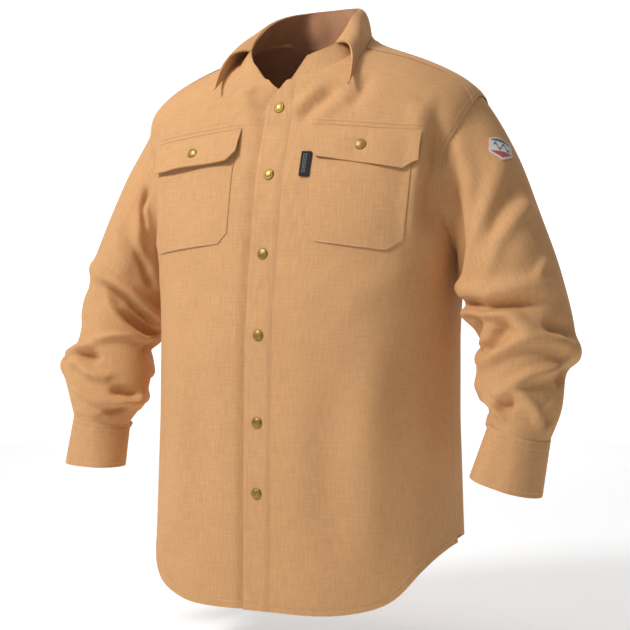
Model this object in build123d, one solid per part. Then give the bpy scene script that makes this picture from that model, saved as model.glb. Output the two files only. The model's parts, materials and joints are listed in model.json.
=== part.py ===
"""A man's long-sleeved welding work shirt in flame-resistant cotton, with two flapped chest pockets.

Millimetres. +Z is up, the wearer faces -Y and the wearer's left is +X. The origin is the middle of
the neck opening, level with the points where the shoulder seams meet the collar. The cloth is cut
panel by panel from lofted shells that lie one inside the other, as a garment's layers do.
"""
from build123d import *
import math
import os

import numpy as np

os.makedirs("parts", exist_ok=True)

# ---- Cloth layers: distances outwards from the inner face of the torso panels ----
CLOTH = 1.4                                    # every cloth panel's thickness
SEWN_GAP = 0.4                                 # air between layers that are sewn together
FRONT_OUT = CLOTH                              # outside of the front, back and yoke panels
PATCH_IN = FRONT_OUT + SEWN_GAP                # left placket and patch pockets
PATCH_OUT = PATCH_IN + CLOTH
FLAP_IN = PATCH_OUT + 2.3                      # the flap's snap lies in this space
FLAP_OUT = FLAP_IN + CLOTH
LINING_OUT = -1.2                              # yoke lining
UNDER_OUT = -3.3                               # right placket, below the left one and the snaps
UNDER_IN = UNDER_OUT - CLOTH

# ---- Torso: height, half width, front y, back y, squareness of the outline ----
TORSO = [
    (-790, 220, -166, 122, 2.3),
    (-735, 217, -165, 121, 2.3),
    (-640, 213, -163, 118, 2.3),
    (-490, 208, -161, 117, 2.3),
    (-380, 206, -158, 118, 2.4),
    (-310, 206, -150, 118, 2.7),
    (-240, 214, -141, 117, 3.0),
    (-176, 225, -130, 114, 3.1),
    (-120, 237, -112, 102, 3.0),
    (-90, 243, -101, 94, 2.8),
    (-70, 238, -97, 88, 2.5),
    (-45, 210, -90, 82, 2.3),
    (-21, 160, -74, 77, 2.1),
    (0, 108, -46, 72, 2.0),
    (20, 76, -16, 67, 2.0),
    (60, 66, -6, 64, 2.0),
]
TORSO_BOTTOM, TORSO_TOP = -770.0, 45.0
TORSO_RINGS = 22
RING_POINTS = 16

# ---- Where the panels are cut ----
SIDE_SEAM_Y = -20.0
YOKE_FRONT_Y = -35.0
YOKE_BACK_Z = -150.0
OPENING_Z = -355.0        # below this the fronts swing open
OPENING_GAP = 1.0
FRONT_HEM = [(0, -727), (120, -724), (165, -709), (196, -672), (222, -634)]
BACK_HEM = [(0, -727), (86, -720), (136, -692), (176, -660), (222, -634)]
ARMHOLE_Z, ARMHOLE_HALF_HEIGHT, ARMHOLE_HALF_DEPTH = -178.0, 104.0, 68.0
NECK_V = [(-8, -74), (44, 10), (-56, 10)]
PLACKET_HALF = 19.0
UNDER_PLACKET_REACH = 44.0

# ---- Neckline and collar ----
NECK_MIDDLE_Y, NECK_HALF_WIDTH, NECK_HALF_DEPTH = -9.7, 75.0, 71.7
NECK_MIDDLE_Z, NECK_SLOPE = -11.8, 0.555       # the neckline rises towards the back
NECK_SIDE_RISE = 18.0                          # and over the shoulders
NECK_HOLE_HALF_WIDTH, NECK_HOLE_HALF_DEPTH = 78.0, 100.0
STAND_END = 150.0                              # degrees round from the middle of the back
STAND_HEIGHT_BACK, STAND_HEIGHT_FRONT = 42.0, 34.0
FOLD_HALF_WIDTH, FOLD_HALF_DEPTH = 63.0, 74.0
LEAF_EDGE = [(0, 79, 24), (44, 72, 24), (77, 46, 25), (92, 6, 22), (98, -34, 17), (100, -70, 1),
             (99, -100, -42)]
COLLAR_CLOTH, INTERLINING = 1.0, 0.5

# ---- Pockets ----
POCKET_X = (56.0, 188.0)
POCKET_TOP, POCKET_BOTTOM, POCKET_CHAMFER = -124.0, -262.0, 13.0
FLAP_X = (52.0, 192.0)
FLAP_TOP, FLAP_BOTTOM, FLAP_CHAMFER = -112.0, -156.0, 12.0
OUTER_DROP = 12.0                              # pockets and flaps hang lower at the outer end
TAB_X, TAB_Z = (43.0, 55.4), (-180.0, -148.0)

# ---- Snap fasteners ----
FRONT_SNAP_Z = [-87.0, -176.0, -278.0, -381.0, -491.0, -580.0]
FLAP_SNAP = (122.0, -143.0)
CAP_R, CAP_HEIGHT = 7.5, 2.2
CAP_LIFT = 0.3
SOCKET_R, SOCKET_HOLE_R = 6.0, 2.6
STUD_R, BASE_R, BASE_HEIGHT = 2.2, 5.5, 0.8
POST_R, POST_HOLE_R = 1.5, 1.8

# ---- Left sleeve rings: outer point, inner point and half depth ----
UPPER_SLEEVE = [
    ((252, 2, -84), (213, 2, -282), 64),
    ((286, -2, -150), (219, -6, -316), 68),
    ((318, -10, -225), (229, -14, -346), 69),
    ((350, -20, -305), (242, -26, -374), 67),
    ((372, -32, -384), (252, -44, -399), 62),
]
LOWER_SLEEVE = [
    ((372, -32, -385.5), (252, -44, -400.5), 62),
    ((370, -48, -430), (247, -58, -436), 57),
    ((357, -66, -474), (253, -74, -466), 51),
    ((349, -78, -503.4), (259, -85, -490.4), 47),
]
CUFF = [
    ((349, -79, -505), (259, -86, -492), 47),
    ((345, -98, -572), (252, -104, -550), 42),
]
CUFF_SNAP_ALONG = 0.6
BADGE_MIDDLE, BADGE_FACING = (279, -31, -141), (0.8, -0.5, 0.35)
BADGE_OUTLINE = [(-18, 12), (0, 18), (18, 12), (16, -10), (0, -20), (-16, -10)]


def torso_size(z):
    """Half width, front y, back y and squareness of the torso at a height."""
    heights = [row[0] for row in TORSO]
    return [float(np.interp(z, heights, [row[k] for row in TORSO])) for k in (1, 2, 3, 4)]


def torso_point(angle, z):
    """A point on the torso, at an angle counted from the wearer's left."""
    half_width, front, back, power = torso_size(z)
    c, s = math.cos(angle), math.sin(angle)
    x = math.copysign(abs(c) ** (2 / power), c) * half_width
    y = math.copysign(abs(s) ** (2 / power), s) * (back - front) / 2
    return Vector(x, (front + back) / 2 + y, z)


def torso_ring(z, out, level):
    """The torso's closed outline, moved outwards along the cloth's normal."""
    points = []
    for i in range(RING_POINTS):
        angle = 2 * math.pi * (i + 0.5) / RING_POINTS
        around = torso_point(angle + 0.15, z) - torso_point(angle - 0.15, z)
        up = torso_point(angle, z + 12) - torso_point(angle, z - 12)
        normal = around.cross(up)
        if level:
            normal = Vector(normal.X, normal.Y, 0)
        points.append(torso_point(angle, z) + normal.normalized() * out)
    parameters = [i / RING_POINTS for i in range(RING_POINTS + 1)]
    return Wire([Edge.make_spline(points, periodic=True, parameters=parameters)])


def ring_heights(low, high):
    """Heights spaced evenly along the torso's side, so closer together over the shoulder."""
    z = [row[0] for row in TORSO]
    steps = np.hypot(np.diff(z), np.diff([row[1] for row in TORSO]))
    along = np.concatenate([[0], np.cumsum(steps)])
    ends = np.interp([low, high], z, along)
    return np.interp(np.linspace(ends[0], ends[1], TORSO_RINGS), along, z)


CORES = {}


def core(out, longer=0.0):
    """The solid inside the torso shell at that offset, lofted once and kept."""
    key = (round(out, 3), longer)
    if key not in CORES:
        heights = ring_heights(TORSO_BOTTOM - longer, TORSO_TOP + longer)
        last = len(heights) - 1
        CORES[key] = Solid.make_loft([torso_ring(z, out, k in (0, last)) for k, z in enumerate(heights)])
    return CORES[key]


def cloth(region, inner, outer):
    """The cloth between two offsets of the torso, inside a region."""
    return (core(outer) & region) - core(inner, longer=5.0)


def block(x, y, z):
    """A box from its lowest and highest x, y and z."""
    size = [high - low for low, high in (x, y, z)]
    middle = [(high + low) / 2 for low, high in (x, y, z)]
    return Pos(*middle) * Box(*size)


def front_prism(points, y_from=-260.0, y_to=-30.0):
    """A shape drawn as seen from the front, (x, z), run from front to back."""
    face = make_face(Polyline(*[(x, y_to, z) for x, z in points], close=True))
    return extrude(face, amount=y_to - y_from, dir=(0, -1, 0))


def unchanged(shape):
    return shape


def mirrored(shape):
    return shape.mirror(Plane.YZ)


SIDES = (("left", unchanged), ("right", mirrored))


def below_hem(hem, y_from, y_to):
    """What lies below a shirttail hem, which is low in the middle and high at the side seams."""
    left = [Vector(x, y_from, z) for x, z in hem]
    right = [Vector(-p.X, p.Y, p.Z) for p in reversed(left[1:])]
    high, low = hem[-1][1], -900
    ends = [left[-1], Vector(260, y_from, high), Vector(260, y_from, low), Vector(-260, y_from, low),
            Vector(-260, y_from, high), right[0]]
    lines = [Edge.make_line(a, b) for a, b in zip(ends, ends[1:])]
    face = Face(Wire([Edge.make_spline(right + left)] + lines))
    return extrude(face, amount=y_from - y_to, dir=(0, -1, 0))


def armhole(side):
    """The oval that the sleeve is set into; side is 1 for the wearer's left."""
    oval = Plane.YZ * Pos(0, ARMHOLE_Z) * Ellipse(ARMHOLE_HALF_DEPTH, ARMHOLE_HALF_HEIGHT)
    return extrude(Pos(side * 150, 0, 0) * oval, amount=side * 200)


def above_neckline():
    """What lies above the tilted neckline seam, inside the neck hole."""
    lean = math.degrees(math.atan(NECK_SLOPE))
    tilted = Plane(origin=(0, NECK_MIDDLE_Y, NECK_MIDDLE_Z), x_dir=(1, 0, 0),
                   z_dir=(0, -math.sin(math.radians(lean)), math.cos(math.radians(lean))))
    hole = Pos(0, NECK_MIDDLE_Y, -200) * Ellipse(NECK_HOLE_HALF_WIDTH, NECK_HOLE_HALF_DEPTH)
    return (tilted * Pos(0, 0, 150) * Box(700, 700, 300)) & extrude(hole, amount=400)


CUTTERS = {
    "neck": above_neckline(),
    "v": front_prism(NECK_V, y_to=-40.0),
    "left": armhole(1),
    "right": armhole(-1),
    "front_hem": below_hem(FRONT_HEM, 0, -300),
    "back_hem": below_hem(BACK_HEM, 300, -40),
}


def trimmed(shape, *names):
    for name in names:
        shape = shape - CUTTERS[name]
    return shape


def front_panel(x, arm, upper):
    """One front between two x, above or below the height where it can swing open."""
    if not upper:
        low = block(x, (-250, SIDE_SEAM_Y - 2.0), (TORSO_BOTTOM, OPENING_Z - OPENING_GAP))
        return trimmed(cloth(low, 0, FRONT_OUT), "front_hem")
    chest = block(x, (-250, SIDE_SEAM_Y), (OPENING_Z, YOKE_BACK_Z))
    shoulder = block(x, (-250, YOKE_FRONT_Y), (YOKE_BACK_Z, TORSO_TOP))
    return trimmed(cloth(chest + shoulder, 0, FRONT_OUT), "neck", "v", arm)


def chest_point(x, z):
    """The point of the torso's front at that x and z."""
    hits = core(0).find_intersection_points(Axis((x, -400, z), (0, 1, 0)))
    return min((point for point, normal in hits), key=lambda point: point.Y)


def snap_frame(x, z):
    """A plane on the front of the torso; its z points out of the cloth and counts the layers."""
    across = chest_point(x + 4, z) - chest_point(x - 4, z)
    up = chest_point(x, z + 8) - chest_point(x, z - 8)
    return Plane(origin=chest_point(x, z), x_dir=across.normalized(),
                 z_dir=across.cross(up).normalized())


def disc(radius, low, high):
    return Pos(0, 0, (low + high) / 2) * Cylinder(radius, high - low)


def cap(surface, post_end):
    """The domed cap on the outside, and its post that passes through the cloth."""
    foot = surface + CAP_LIFT
    dome = [(0, 0), (CAP_R, 0), (CAP_R, 1.0), (CAP_R - 0.8, 1.5), (CAP_R / 2, 2.0), (0, CAP_HEIGHT)]
    head = revolve(make_face(Plane.XZ * Polyline(*dome, close=True)), axis=Axis.Z)
    return Pos(0, 0, foot) * head + disc(POST_R, post_end, foot + 0.5)


def socket(low, high):
    """The ring behind the cap that the stud presses into."""
    return disc(SOCKET_R, low, high) - disc(SOCKET_HOLE_R, low - 1, high + 1)


def stud(foot, tip):
    """The stud on its flat base."""
    return disc(BASE_R, foot, foot + BASE_HEIGHT) + disc(STUD_R, foot + BASE_HEIGHT / 2, tip)


def backing(surface, post_end):
    """The rivet disc behind the under cloth and its short post."""
    face = surface - CAP_LIFT
    return disc(BASE_R, face - BASE_HEIGHT, face) + disc(POST_R - 0.3, face - 0.3, post_end)


def patch_outline(x, top, bottom, chamfer):
    """A patch with both lower corners cut off."""
    inner, outer = x
    return [(inner, top), (outer, top - OUTER_DROP), (outer, bottom - OUTER_DROP + chamfer),
            (outer - chamfer, bottom - OUTER_DROP), (inner + chamfer, bottom), (inner, bottom + chamfer)]


def ring_face(outer_point, inner_point, half_depth, grow):
    """A sleeve's ring as an ellipse between two points, made larger by grow."""
    a, b = Vector(*outer_point), Vector(*inner_point)
    across = (a - b).normalized()
    depth = (Vector(0, 1, 0) - across * across.Y).normalized()
    plane = Plane(origin=(a + b) / 2, x_dir=across, z_dir=across.cross(depth))
    return (plane * Ellipse((a - b).length / 2 + grow, half_depth + grow)).face()


def tube(rings, outside, inside):
    """A cloth tube through rings, closed by a flat rim at each end."""
    faces, ends = [], []
    for grow in (outside, inside):
        sections = [ring_face(*ring, grow) for ring in rings]
        faces += [face for face in loft(sections).faces() if face.geom_type != GeomType.PLANE]
        ends.append((sections[0].outer_wire(), sections[-1].outer_wire()))
    rims = [Face(ends[0][k], [ends[1][k]]) for k in (0, 1)]
    return Solid(Shell(faces + rims))


def band(tops, bottoms, outside, inside):
    """A strip of cloth hung between two curves of points, between two offsets from them."""
    edges = {}
    for out in (outside, inside):
        high, low = [], []
        for k, (top, bottom) in enumerate(zip(tops, bottoms)):
            before, after = tops[max(k - 1, 0)], tops[min(k + 1, len(tops) - 1)]
            normal = (after - before).cross(bottom - top).normalized()
            high.append(top + normal * out)
            low.append(bottom + normal * out)
        parameters = [k / (len(tops) - 1) for k in range(len(tops))]
        edges[out] = [Edge.make_spline(line, parameters=parameters) for line in (high, low)]
    (out_high, out_low), (in_high, in_low) = edges[outside], edges[inside]
    surface = Face.make_surface_from_curves
    faces = [surface(out_high, out_low), surface(in_high, in_low), surface(out_high, in_high),
             surface(out_low, in_low)]
    for at in (0, 1):
        faces.append(surface(Edge.make_line(out_high @ at, out_low @ at),
                             Edge.make_line(in_high @ at, in_low @ at)))
    return Solid(Shell(faces))


def neckline(degrees, half_width, half_depth, raised):
    """A point round the neck, at degrees from the middle of the back."""
    turn = math.radians(degrees)
    y = NECK_MIDDLE_Y + half_depth * math.cos(turn)
    seam = NECK_MIDDLE_Z + NECK_SLOPE * (y - NECK_MIDDLE_Y) + NECK_SIDE_RISE * math.sin(turn) ** 2
    return Vector(half_width * math.sin(turn), y, seam + raised)


PARTS = {}


def make_torso():
    back = cloth(block((-260, 260), (SIDE_SEAM_Y, 250), (TORSO_BOTTOM, YOKE_BACK_Z - 0.3)), 0, FRONT_OUT)
    PARTS["back_panel"] = trimmed(back, "left", "right", "back_hem")
    region = block((-260, 260), (YOKE_FRONT_Y + 0.3, 250), (YOKE_BACK_Z, TORSO_TOP))
    PARTS["yoke"] = trimmed(cloth(region, 0, FRONT_OUT), "neck", "left", "right")
    lining = cloth(region, LINING_OUT - CLOTH, LINING_OUT)
    PARTS["yoke_lining"] = trimmed(lining, "neck", "left", "right")
    for part, upper in (("upper", True), ("lower", False)):
        PARTS[f"left_front_{part}"] = front_panel((-PLACKET_HALF, 260), "left", upper)
        PARTS[f"right_front_{part}"] = front_panel((-260, -PLACKET_HALF - 0.5), "right", upper)


def make_plackets():
    for part, z in (("upper", (OPENING_Z, 40)), ("lower", (TORSO_BOTTOM, OPENING_Z - OPENING_GAP))):
        cuts = ("neck", "v") if part == "upper" else ("front_hem",)
        over = block((-PLACKET_HALF, PLACKET_HALF), (-250, -30), z)
        PARTS[f"left_placket_{part}"] = trimmed(cloth(over, PATCH_IN, PATCH_OUT), *cuts)
        under = block((-UNDER_PLACKET_REACH, PLACKET_HALF), (-250, -30), z)
        PARTS[f"right_placket_{part}"] = trimmed(cloth(under, UNDER_IN, UNDER_OUT), *cuts)


def make_front_snaps():
    """Caps and sockets go with the left front; studs and backings with the right."""
    socket_span = (-1.8, -0.3)
    stud_foot, stud_tip = UNDER_OUT + CAP_LIFT, -0.6
    for part, heights in (("upper", FRONT_SNAP_Z[:3]), ("lower", FRONT_SNAP_Z[3:])):
        frames = [snap_frame(0, z) for z in heights]
        for frame in frames:
            hole = frame * disc(POST_HOLE_R, -12, 12)
            for cloth_name in ("left_placket", "left_front", "right_placket"):
                PARTS[f"{cloth_name}_{part}"] -= hole
        groups = {
            "caps": cap(PATCH_OUT, 0.0),
            "sockets": socket(*socket_span),
            "studs": stud(stud_foot, stud_tip),
            "backings": backing(UNDER_IN, stud_foot - 0.05),
        }
        for name, piece in groups.items():
            PARTS[f"front_snap_{name}_{part}"] = Compound(children=[frame * piece for frame in frames])


def make_pockets():
    outline = patch_outline(POCKET_X, POCKET_TOP, POCKET_BOTTOM, POCKET_CHAMFER)
    pocket = cloth(front_prism(outline), PATCH_IN, PATCH_OUT)
    outline = patch_outline(FLAP_X, FLAP_TOP, FLAP_BOTTOM, FLAP_CHAMFER)
    frame = snap_frame(*FLAP_SNAP)
    flap = cloth(front_prism(outline), FLAP_IN, FLAP_OUT) - frame * disc(POST_HOLE_R, -5, 15)
    stud_foot = PATCH_OUT + 0.1
    low_stud = disc(BASE_R, stud_foot, stud_foot + 0.4) + disc(STUD_R, stud_foot, FLAP_IN - 0.7)
    for side, turn in SIDES:
        PARTS[f"{side}_pocket"] = turn(pocket)
        PARTS[f"{side}_pocket_flap"] = turn(flap)
        PARTS[f"{side}_flap_snap_cap"] = turn(frame * cap(FLAP_OUT, FLAP_IN))
        PARTS[f"{side}_flap_snap_socket"] = turn(frame * socket(FLAP_IN - 1.5, FLAP_IN - 0.4))
        PARTS[f"{side}_pocket_snap_stud"] = turn(frame * low_stud)
    PARTS["pocket_tab_label"] = cloth(block(TAB_X, (-250, -30), TAB_Z), PATCH_IN, PATCH_OUT - 0.4)


def make_collar():
    turns = np.linspace(-STAND_END, STAND_END, 13)
    tops, bottoms, folds, edges = [], [], [], []
    shares = [k / (len(LEAF_EDGE) - 1) for k in range(len(LEAF_EDGE))]
    for degrees in turns:
        share = abs(degrees) / STAND_END
        raised = STAND_HEIGHT_BACK + (STAND_HEIGHT_FRONT - STAND_HEIGHT_BACK) * share
        bottoms.append(neckline(degrees, NECK_HALF_WIDTH, NECK_HALF_DEPTH, 1.5))
        tops.append(neckline(degrees, FOLD_HALF_WIDTH, FOLD_HALF_DEPTH, raised - 3.0))
        folds.append(neckline(degrees, FOLD_HALF_WIDTH + 2.5, FOLD_HALF_DEPTH + 2.5, raised))
        x, y, z = [float(np.interp(share, shares, [p[k] for p in LEAF_EDGE])) for k in range(3)]
        edges.append(Vector(math.copysign(x, degrees), y, z))
    plies = (("outer", 0.0, COLLAR_CLOTH), ("interlining", 1.2, INTERLINING), ("inner", 1.9, COLLAR_CLOTH))
    for name, depth, thick in plies:
        PARTS[f"collar_stand_{name}"] = band(tops, bottoms, -depth, -depth - thick)
    plies = (("upper_collar", 2.9, COLLAR_CLOTH), ("collar_interlining", 1.7, INTERLINING),
             ("under_collar", 1.0, COLLAR_CLOTH))
    for name, out, thick in plies:
        PARTS[name] = band(folds, edges, out, out - thick)


def ring_back(outer_point, inner_point, half_depth):
    """The rearmost point of a sleeve's ring."""
    a, b = Vector(*outer_point), Vector(*inner_point)
    across = (a - b).normalized()
    return (a + b) / 2 + (Vector(0, 1, 0) - across * across.Y).normalized() * half_depth


def cuff_back_frame():
    """A plane on the back of the left cuff, its z out of the cloth."""
    top, bottom = ring_back(*CUFF[0]), ring_back(*CUFF[1])
    across = (Vector(*CUFF[0][0]) - Vector(*CUFF[0][1])).normalized()
    return Plane(origin=top + (bottom - top) * CUFF_SNAP_ALONG, x_dir=across,
                 z_dir=across.cross(top - bottom).normalized() * -1)


def make_sleeves():
    upper = tube(UPPER_SLEEVE, 0, -CLOTH)
    lower = tube(LOWER_SLEEVE, 0, -CLOTH)
    frame = cuff_back_frame()
    cuff = tube(CUFF, 0, -CLOTH) - frame * disc(POST_HOLE_R, -5, 5)
    snap = [frame * cap(0.6, -CLOTH), frame * backing(-CLOTH - 0.3, -CLOTH - 0.3)]
    for side, turn in SIDES:
        PARTS[f"{side}_sleeve_upper"] = turn(upper)
        PARTS[f"{side}_sleeve_lower"] = turn(lower)
        PARTS[f"{side}_cuff"] = turn(cuff)
        PARTS[f"{side}_cuff_snap"] = Compound(children=[turn(piece) for piece in snap])
    plane = Plane(origin=BADGE_MIDDLE, x_dir=(0.5, 0.8, 0), z_dir=BADGE_FACING)
    shield = extrude(plane * make_face(Polyline(*BADGE_OUTLINE, close=True)), amount=14, both=True)
    PARTS["sleeve_badge"] = tube(UPPER_SLEEVE, 1.5, 0.4) & shield


make_torso()
make_plackets()
make_front_snaps()
make_pockets()
make_collar()
make_sleeves()

for node, shape in PARTS.items():
    export_step(shape, f"parts/{node}.step")
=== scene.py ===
"""Looks for a tan flame-resistant cotton welding shirt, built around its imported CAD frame."""
import json
import math

import bpy
import numpy as np
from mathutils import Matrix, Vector
from mathutils.geometry import delaunay_2d_cdt

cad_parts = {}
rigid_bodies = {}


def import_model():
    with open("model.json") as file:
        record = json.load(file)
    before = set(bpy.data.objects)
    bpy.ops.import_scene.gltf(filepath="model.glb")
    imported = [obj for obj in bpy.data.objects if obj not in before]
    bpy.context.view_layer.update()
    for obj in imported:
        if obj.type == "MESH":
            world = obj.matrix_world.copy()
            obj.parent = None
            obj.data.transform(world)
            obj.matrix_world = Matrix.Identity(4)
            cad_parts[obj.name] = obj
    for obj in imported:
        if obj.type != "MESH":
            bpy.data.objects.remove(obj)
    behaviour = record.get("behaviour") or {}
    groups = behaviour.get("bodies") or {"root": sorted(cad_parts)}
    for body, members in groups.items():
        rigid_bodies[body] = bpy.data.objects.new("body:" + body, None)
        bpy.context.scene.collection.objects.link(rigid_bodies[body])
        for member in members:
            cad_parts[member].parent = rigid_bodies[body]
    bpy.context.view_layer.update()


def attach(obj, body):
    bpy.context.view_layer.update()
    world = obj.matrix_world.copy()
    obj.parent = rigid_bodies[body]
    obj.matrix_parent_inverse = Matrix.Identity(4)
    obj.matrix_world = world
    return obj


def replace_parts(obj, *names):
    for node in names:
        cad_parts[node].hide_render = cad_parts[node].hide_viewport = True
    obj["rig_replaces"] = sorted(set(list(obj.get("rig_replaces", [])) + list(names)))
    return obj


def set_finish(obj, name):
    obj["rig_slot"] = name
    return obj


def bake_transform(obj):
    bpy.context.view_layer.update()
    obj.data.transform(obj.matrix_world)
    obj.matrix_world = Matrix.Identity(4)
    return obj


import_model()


CAD_NODES = {o.name for o in bpy.data.objects}
MM = 0.001

# ------------------------------------------------------------------ torso surface, in millimetres
TORSO = np.array([
    (-790, 219, -166, 122, 2.3), (-735, 217, -165, 121, 2.3), (-640, 213, -163, 118, 2.3),
    (-490, 208, -161, 117, 2.3), (-380, 206, -158, 118, 2.4), (-310, 206, -150, 118, 2.7),
    (-240, 214, -141, 117, 3.0), (-176, 225, -130, 114, 3.1), (-120, 237, -112, 102, 3.0),
    (-90, 243, -101, 94, 2.8), (-70, 240, -97, 88, 2.5), (-45, 210, -91, 82, 2.3),
    (-21, 162, -76, 77, 2.1), (0, 106, -46, 72, 2.0), (12, 76, -24, 69, 2.0), (30, 70, -12, 66, 2.0),
    (60, 66, -6, 64, 2.0)], float)
Z_LOW, Z_HIGH, Z_STEP = -765.0, 45.0, 2.0
ROUND = 900
FRONT_HEM = np.array([(0, -727), (120, -724), (165, -709), (196, -672), (222, -634)], float)
BACK_HEM = np.array([(0, -727), (86, -720), (136, -692), (176, -660), (222, -634)], float)
SIDE_Y, YOKE_FRONT_Y, YOKE_BACK_Z = -20.0, -35.0, -150.0
SIDE_LOW = -640.0       # the side seams are drawn down to here, and the hem cuts them shorter
SEAM_LAP = 9.0          # how far a panel runs on under the yoke
ARM_Z, ARM_HALF_HEIGHT, ARM_HALF_DEPTH = -178.0, 104.0, 68.0
YOKE_ARM_ANGLE = 164.4  # where the yoke's back seam meets the armhole oval, in degrees


def smoothstep(t):
    t = np.clip(t, 0.0, 1.0)
    return t * t * (3 - 2 * t)


def blur(values, sigma):
    reach = int(3 * sigma) + 1
    kernel = np.exp(-0.5 * (np.arange(-reach, reach + 1) / sigma) ** 2)
    padded = np.pad(values, reach, mode="edge")
    return np.convolve(padded, kernel / kernel.sum(), "valid")


def hermite(values, slopes, places, t):
    """Rows of values at t, by cubics between the places where they and their slopes are given."""
    k = np.clip(np.searchsorted(places, t, side="right") - 1, 0, len(places) - 2)
    h = (places[k + 1] - places[k])[:, None]
    s = ((t - places[k]) / (places[k + 1] - places[k]))[:, None]
    return ((2 * s**3 - 3 * s**2 + 1) * values[k] + (s**3 - 2 * s**2 + s) * h * slopes[k]
            + (3 * s**2 - 2 * s**3) * values[k + 1] + (s**3 - s**2) * h * slopes[k + 1])


def spline(points, count):
    """A smooth curve through points of any dimension, spaced by the root of their chords."""
    p = np.asarray(points, float)
    d = np.concatenate([[0], np.cumsum(np.linalg.norm(np.diff(p, axis=0), axis=1) ** 0.5)])
    return hermite(p, np.gradient(p, d, axis=0), d, np.linspace(0, d[-1], count))


def lengths_along(points):
    """The length of a polyline from its start to each of its points."""
    return np.concatenate([[0], np.cumsum(np.linalg.norm(np.diff(points, axis=0), axis=1))])


def rows_at(places, lengths, rows):
    """Rows of three numbers, given at lengths along a line, interpolated at places on it."""
    return np.stack([np.interp(places, lengths, rows[:, k]) for k in range(3)], axis=-1)


ZS = np.arange(Z_LOW, Z_HIGH + 0.1, Z_STEP)
PROFILE = np.array([blur(np.interp(ZS, TORSO[:, 0], TORSO[:, k]), 4) for k in (1, 2, 3, 4)])


def profile(z):
    return [np.interp(z, ZS, row) for row in PROFILE]


def front_angle(x, z):
    """The angle round the torso of a point on its front, from its x."""
    half, _, _, power = profile(z)
    c = np.sign(x) * np.clip(np.abs(x) / half, 0, 1) ** (power / 2)
    return -np.arccos(c)


def side_angle(y, z, side):
    """The angle of a point on the left (side 1) or right (side -1) of the torso, from its y."""
    _, front, back, power = profile(z)
    s = (y - (front + back) / 2) / ((back - front) / 2)
    angle = np.arcsin(np.sign(s) * np.clip(np.abs(s), 0, 1) ** (power / 2))
    return angle if side > 0 else math.pi - angle


class Surface:
    """A cloth surface sampled on a grid: rows run along it, columns round it."""

    def __init__(self, points, closed=True):
        self.points, self.closed = points, closed
        self.update()

    def update(self):
        p = self.points
        if self.closed:
            around = np.roll(p, -1, axis=1) - np.roll(p, 1, axis=1)
        else:
            around = np.gradient(p, axis=1)
        n = np.cross(around, np.gradient(p, axis=0))
        self.normals = n / np.maximum(np.linalg.norm(n, axis=2), 1e-9)[..., None]

    def at(self, column, row):
        """Position and normal at fractional columns and rows."""
        rows, cols = self.points.shape[:2]
        row = np.clip(row, 0, rows - 1.001)
        r = row.astype(int)
        if self.closed:
            column = np.mod(column, cols)
            c = np.minimum(column.astype(int), cols - 1)
            c2 = (c + 1) % cols
        else:
            column = np.clip(column, 0, cols - 1.001)
            c = column.astype(int)
            c2 = c + 1
        fr, fc = (row - r)[:, None], (column - c)[:, None]
        out = []
        for grid in (self.points, self.normals):
            top = grid[r, c] * (1 - fc) + grid[r, c2] * fc
            low = grid[r + 1, c] * (1 - fc) + grid[r + 1, c2] * fc
            out.append(top * (1 - fr) + low * fr)
        out[1] /= np.linalg.norm(out[1], axis=1)[:, None]
        return out


def ridge(x, z, line, width, height):
    """A fold's height field: a crest along a line of (x, z) that dies away at its ends."""
    best = np.full(x.shape, 1e9)
    along = np.zeros(x.shape)
    line = np.asarray(line, float)
    lengths = np.linalg.norm(np.diff(line, axis=0), axis=1)
    total, done = lengths.sum(), 0.0
    for a, b, length in zip(line, line[1:], lengths):
        d = (b - a) / length
        t = np.clip((x - a[0]) * d[0] + (z - a[1]) * d[1], 0, length)
        dist = np.hypot(x - a[0] - t * d[0], z - a[1] - t * d[1])
        closer = dist < best
        best = np.where(closer, dist, best)
        along = np.where(closer, (done + t) / total, along)
        done += length
    fade = smoothstep(along / 0.3) * smoothstep((1 - along) / 0.3)
    return height * fade * np.exp(-(best / width) ** 2)


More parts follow.
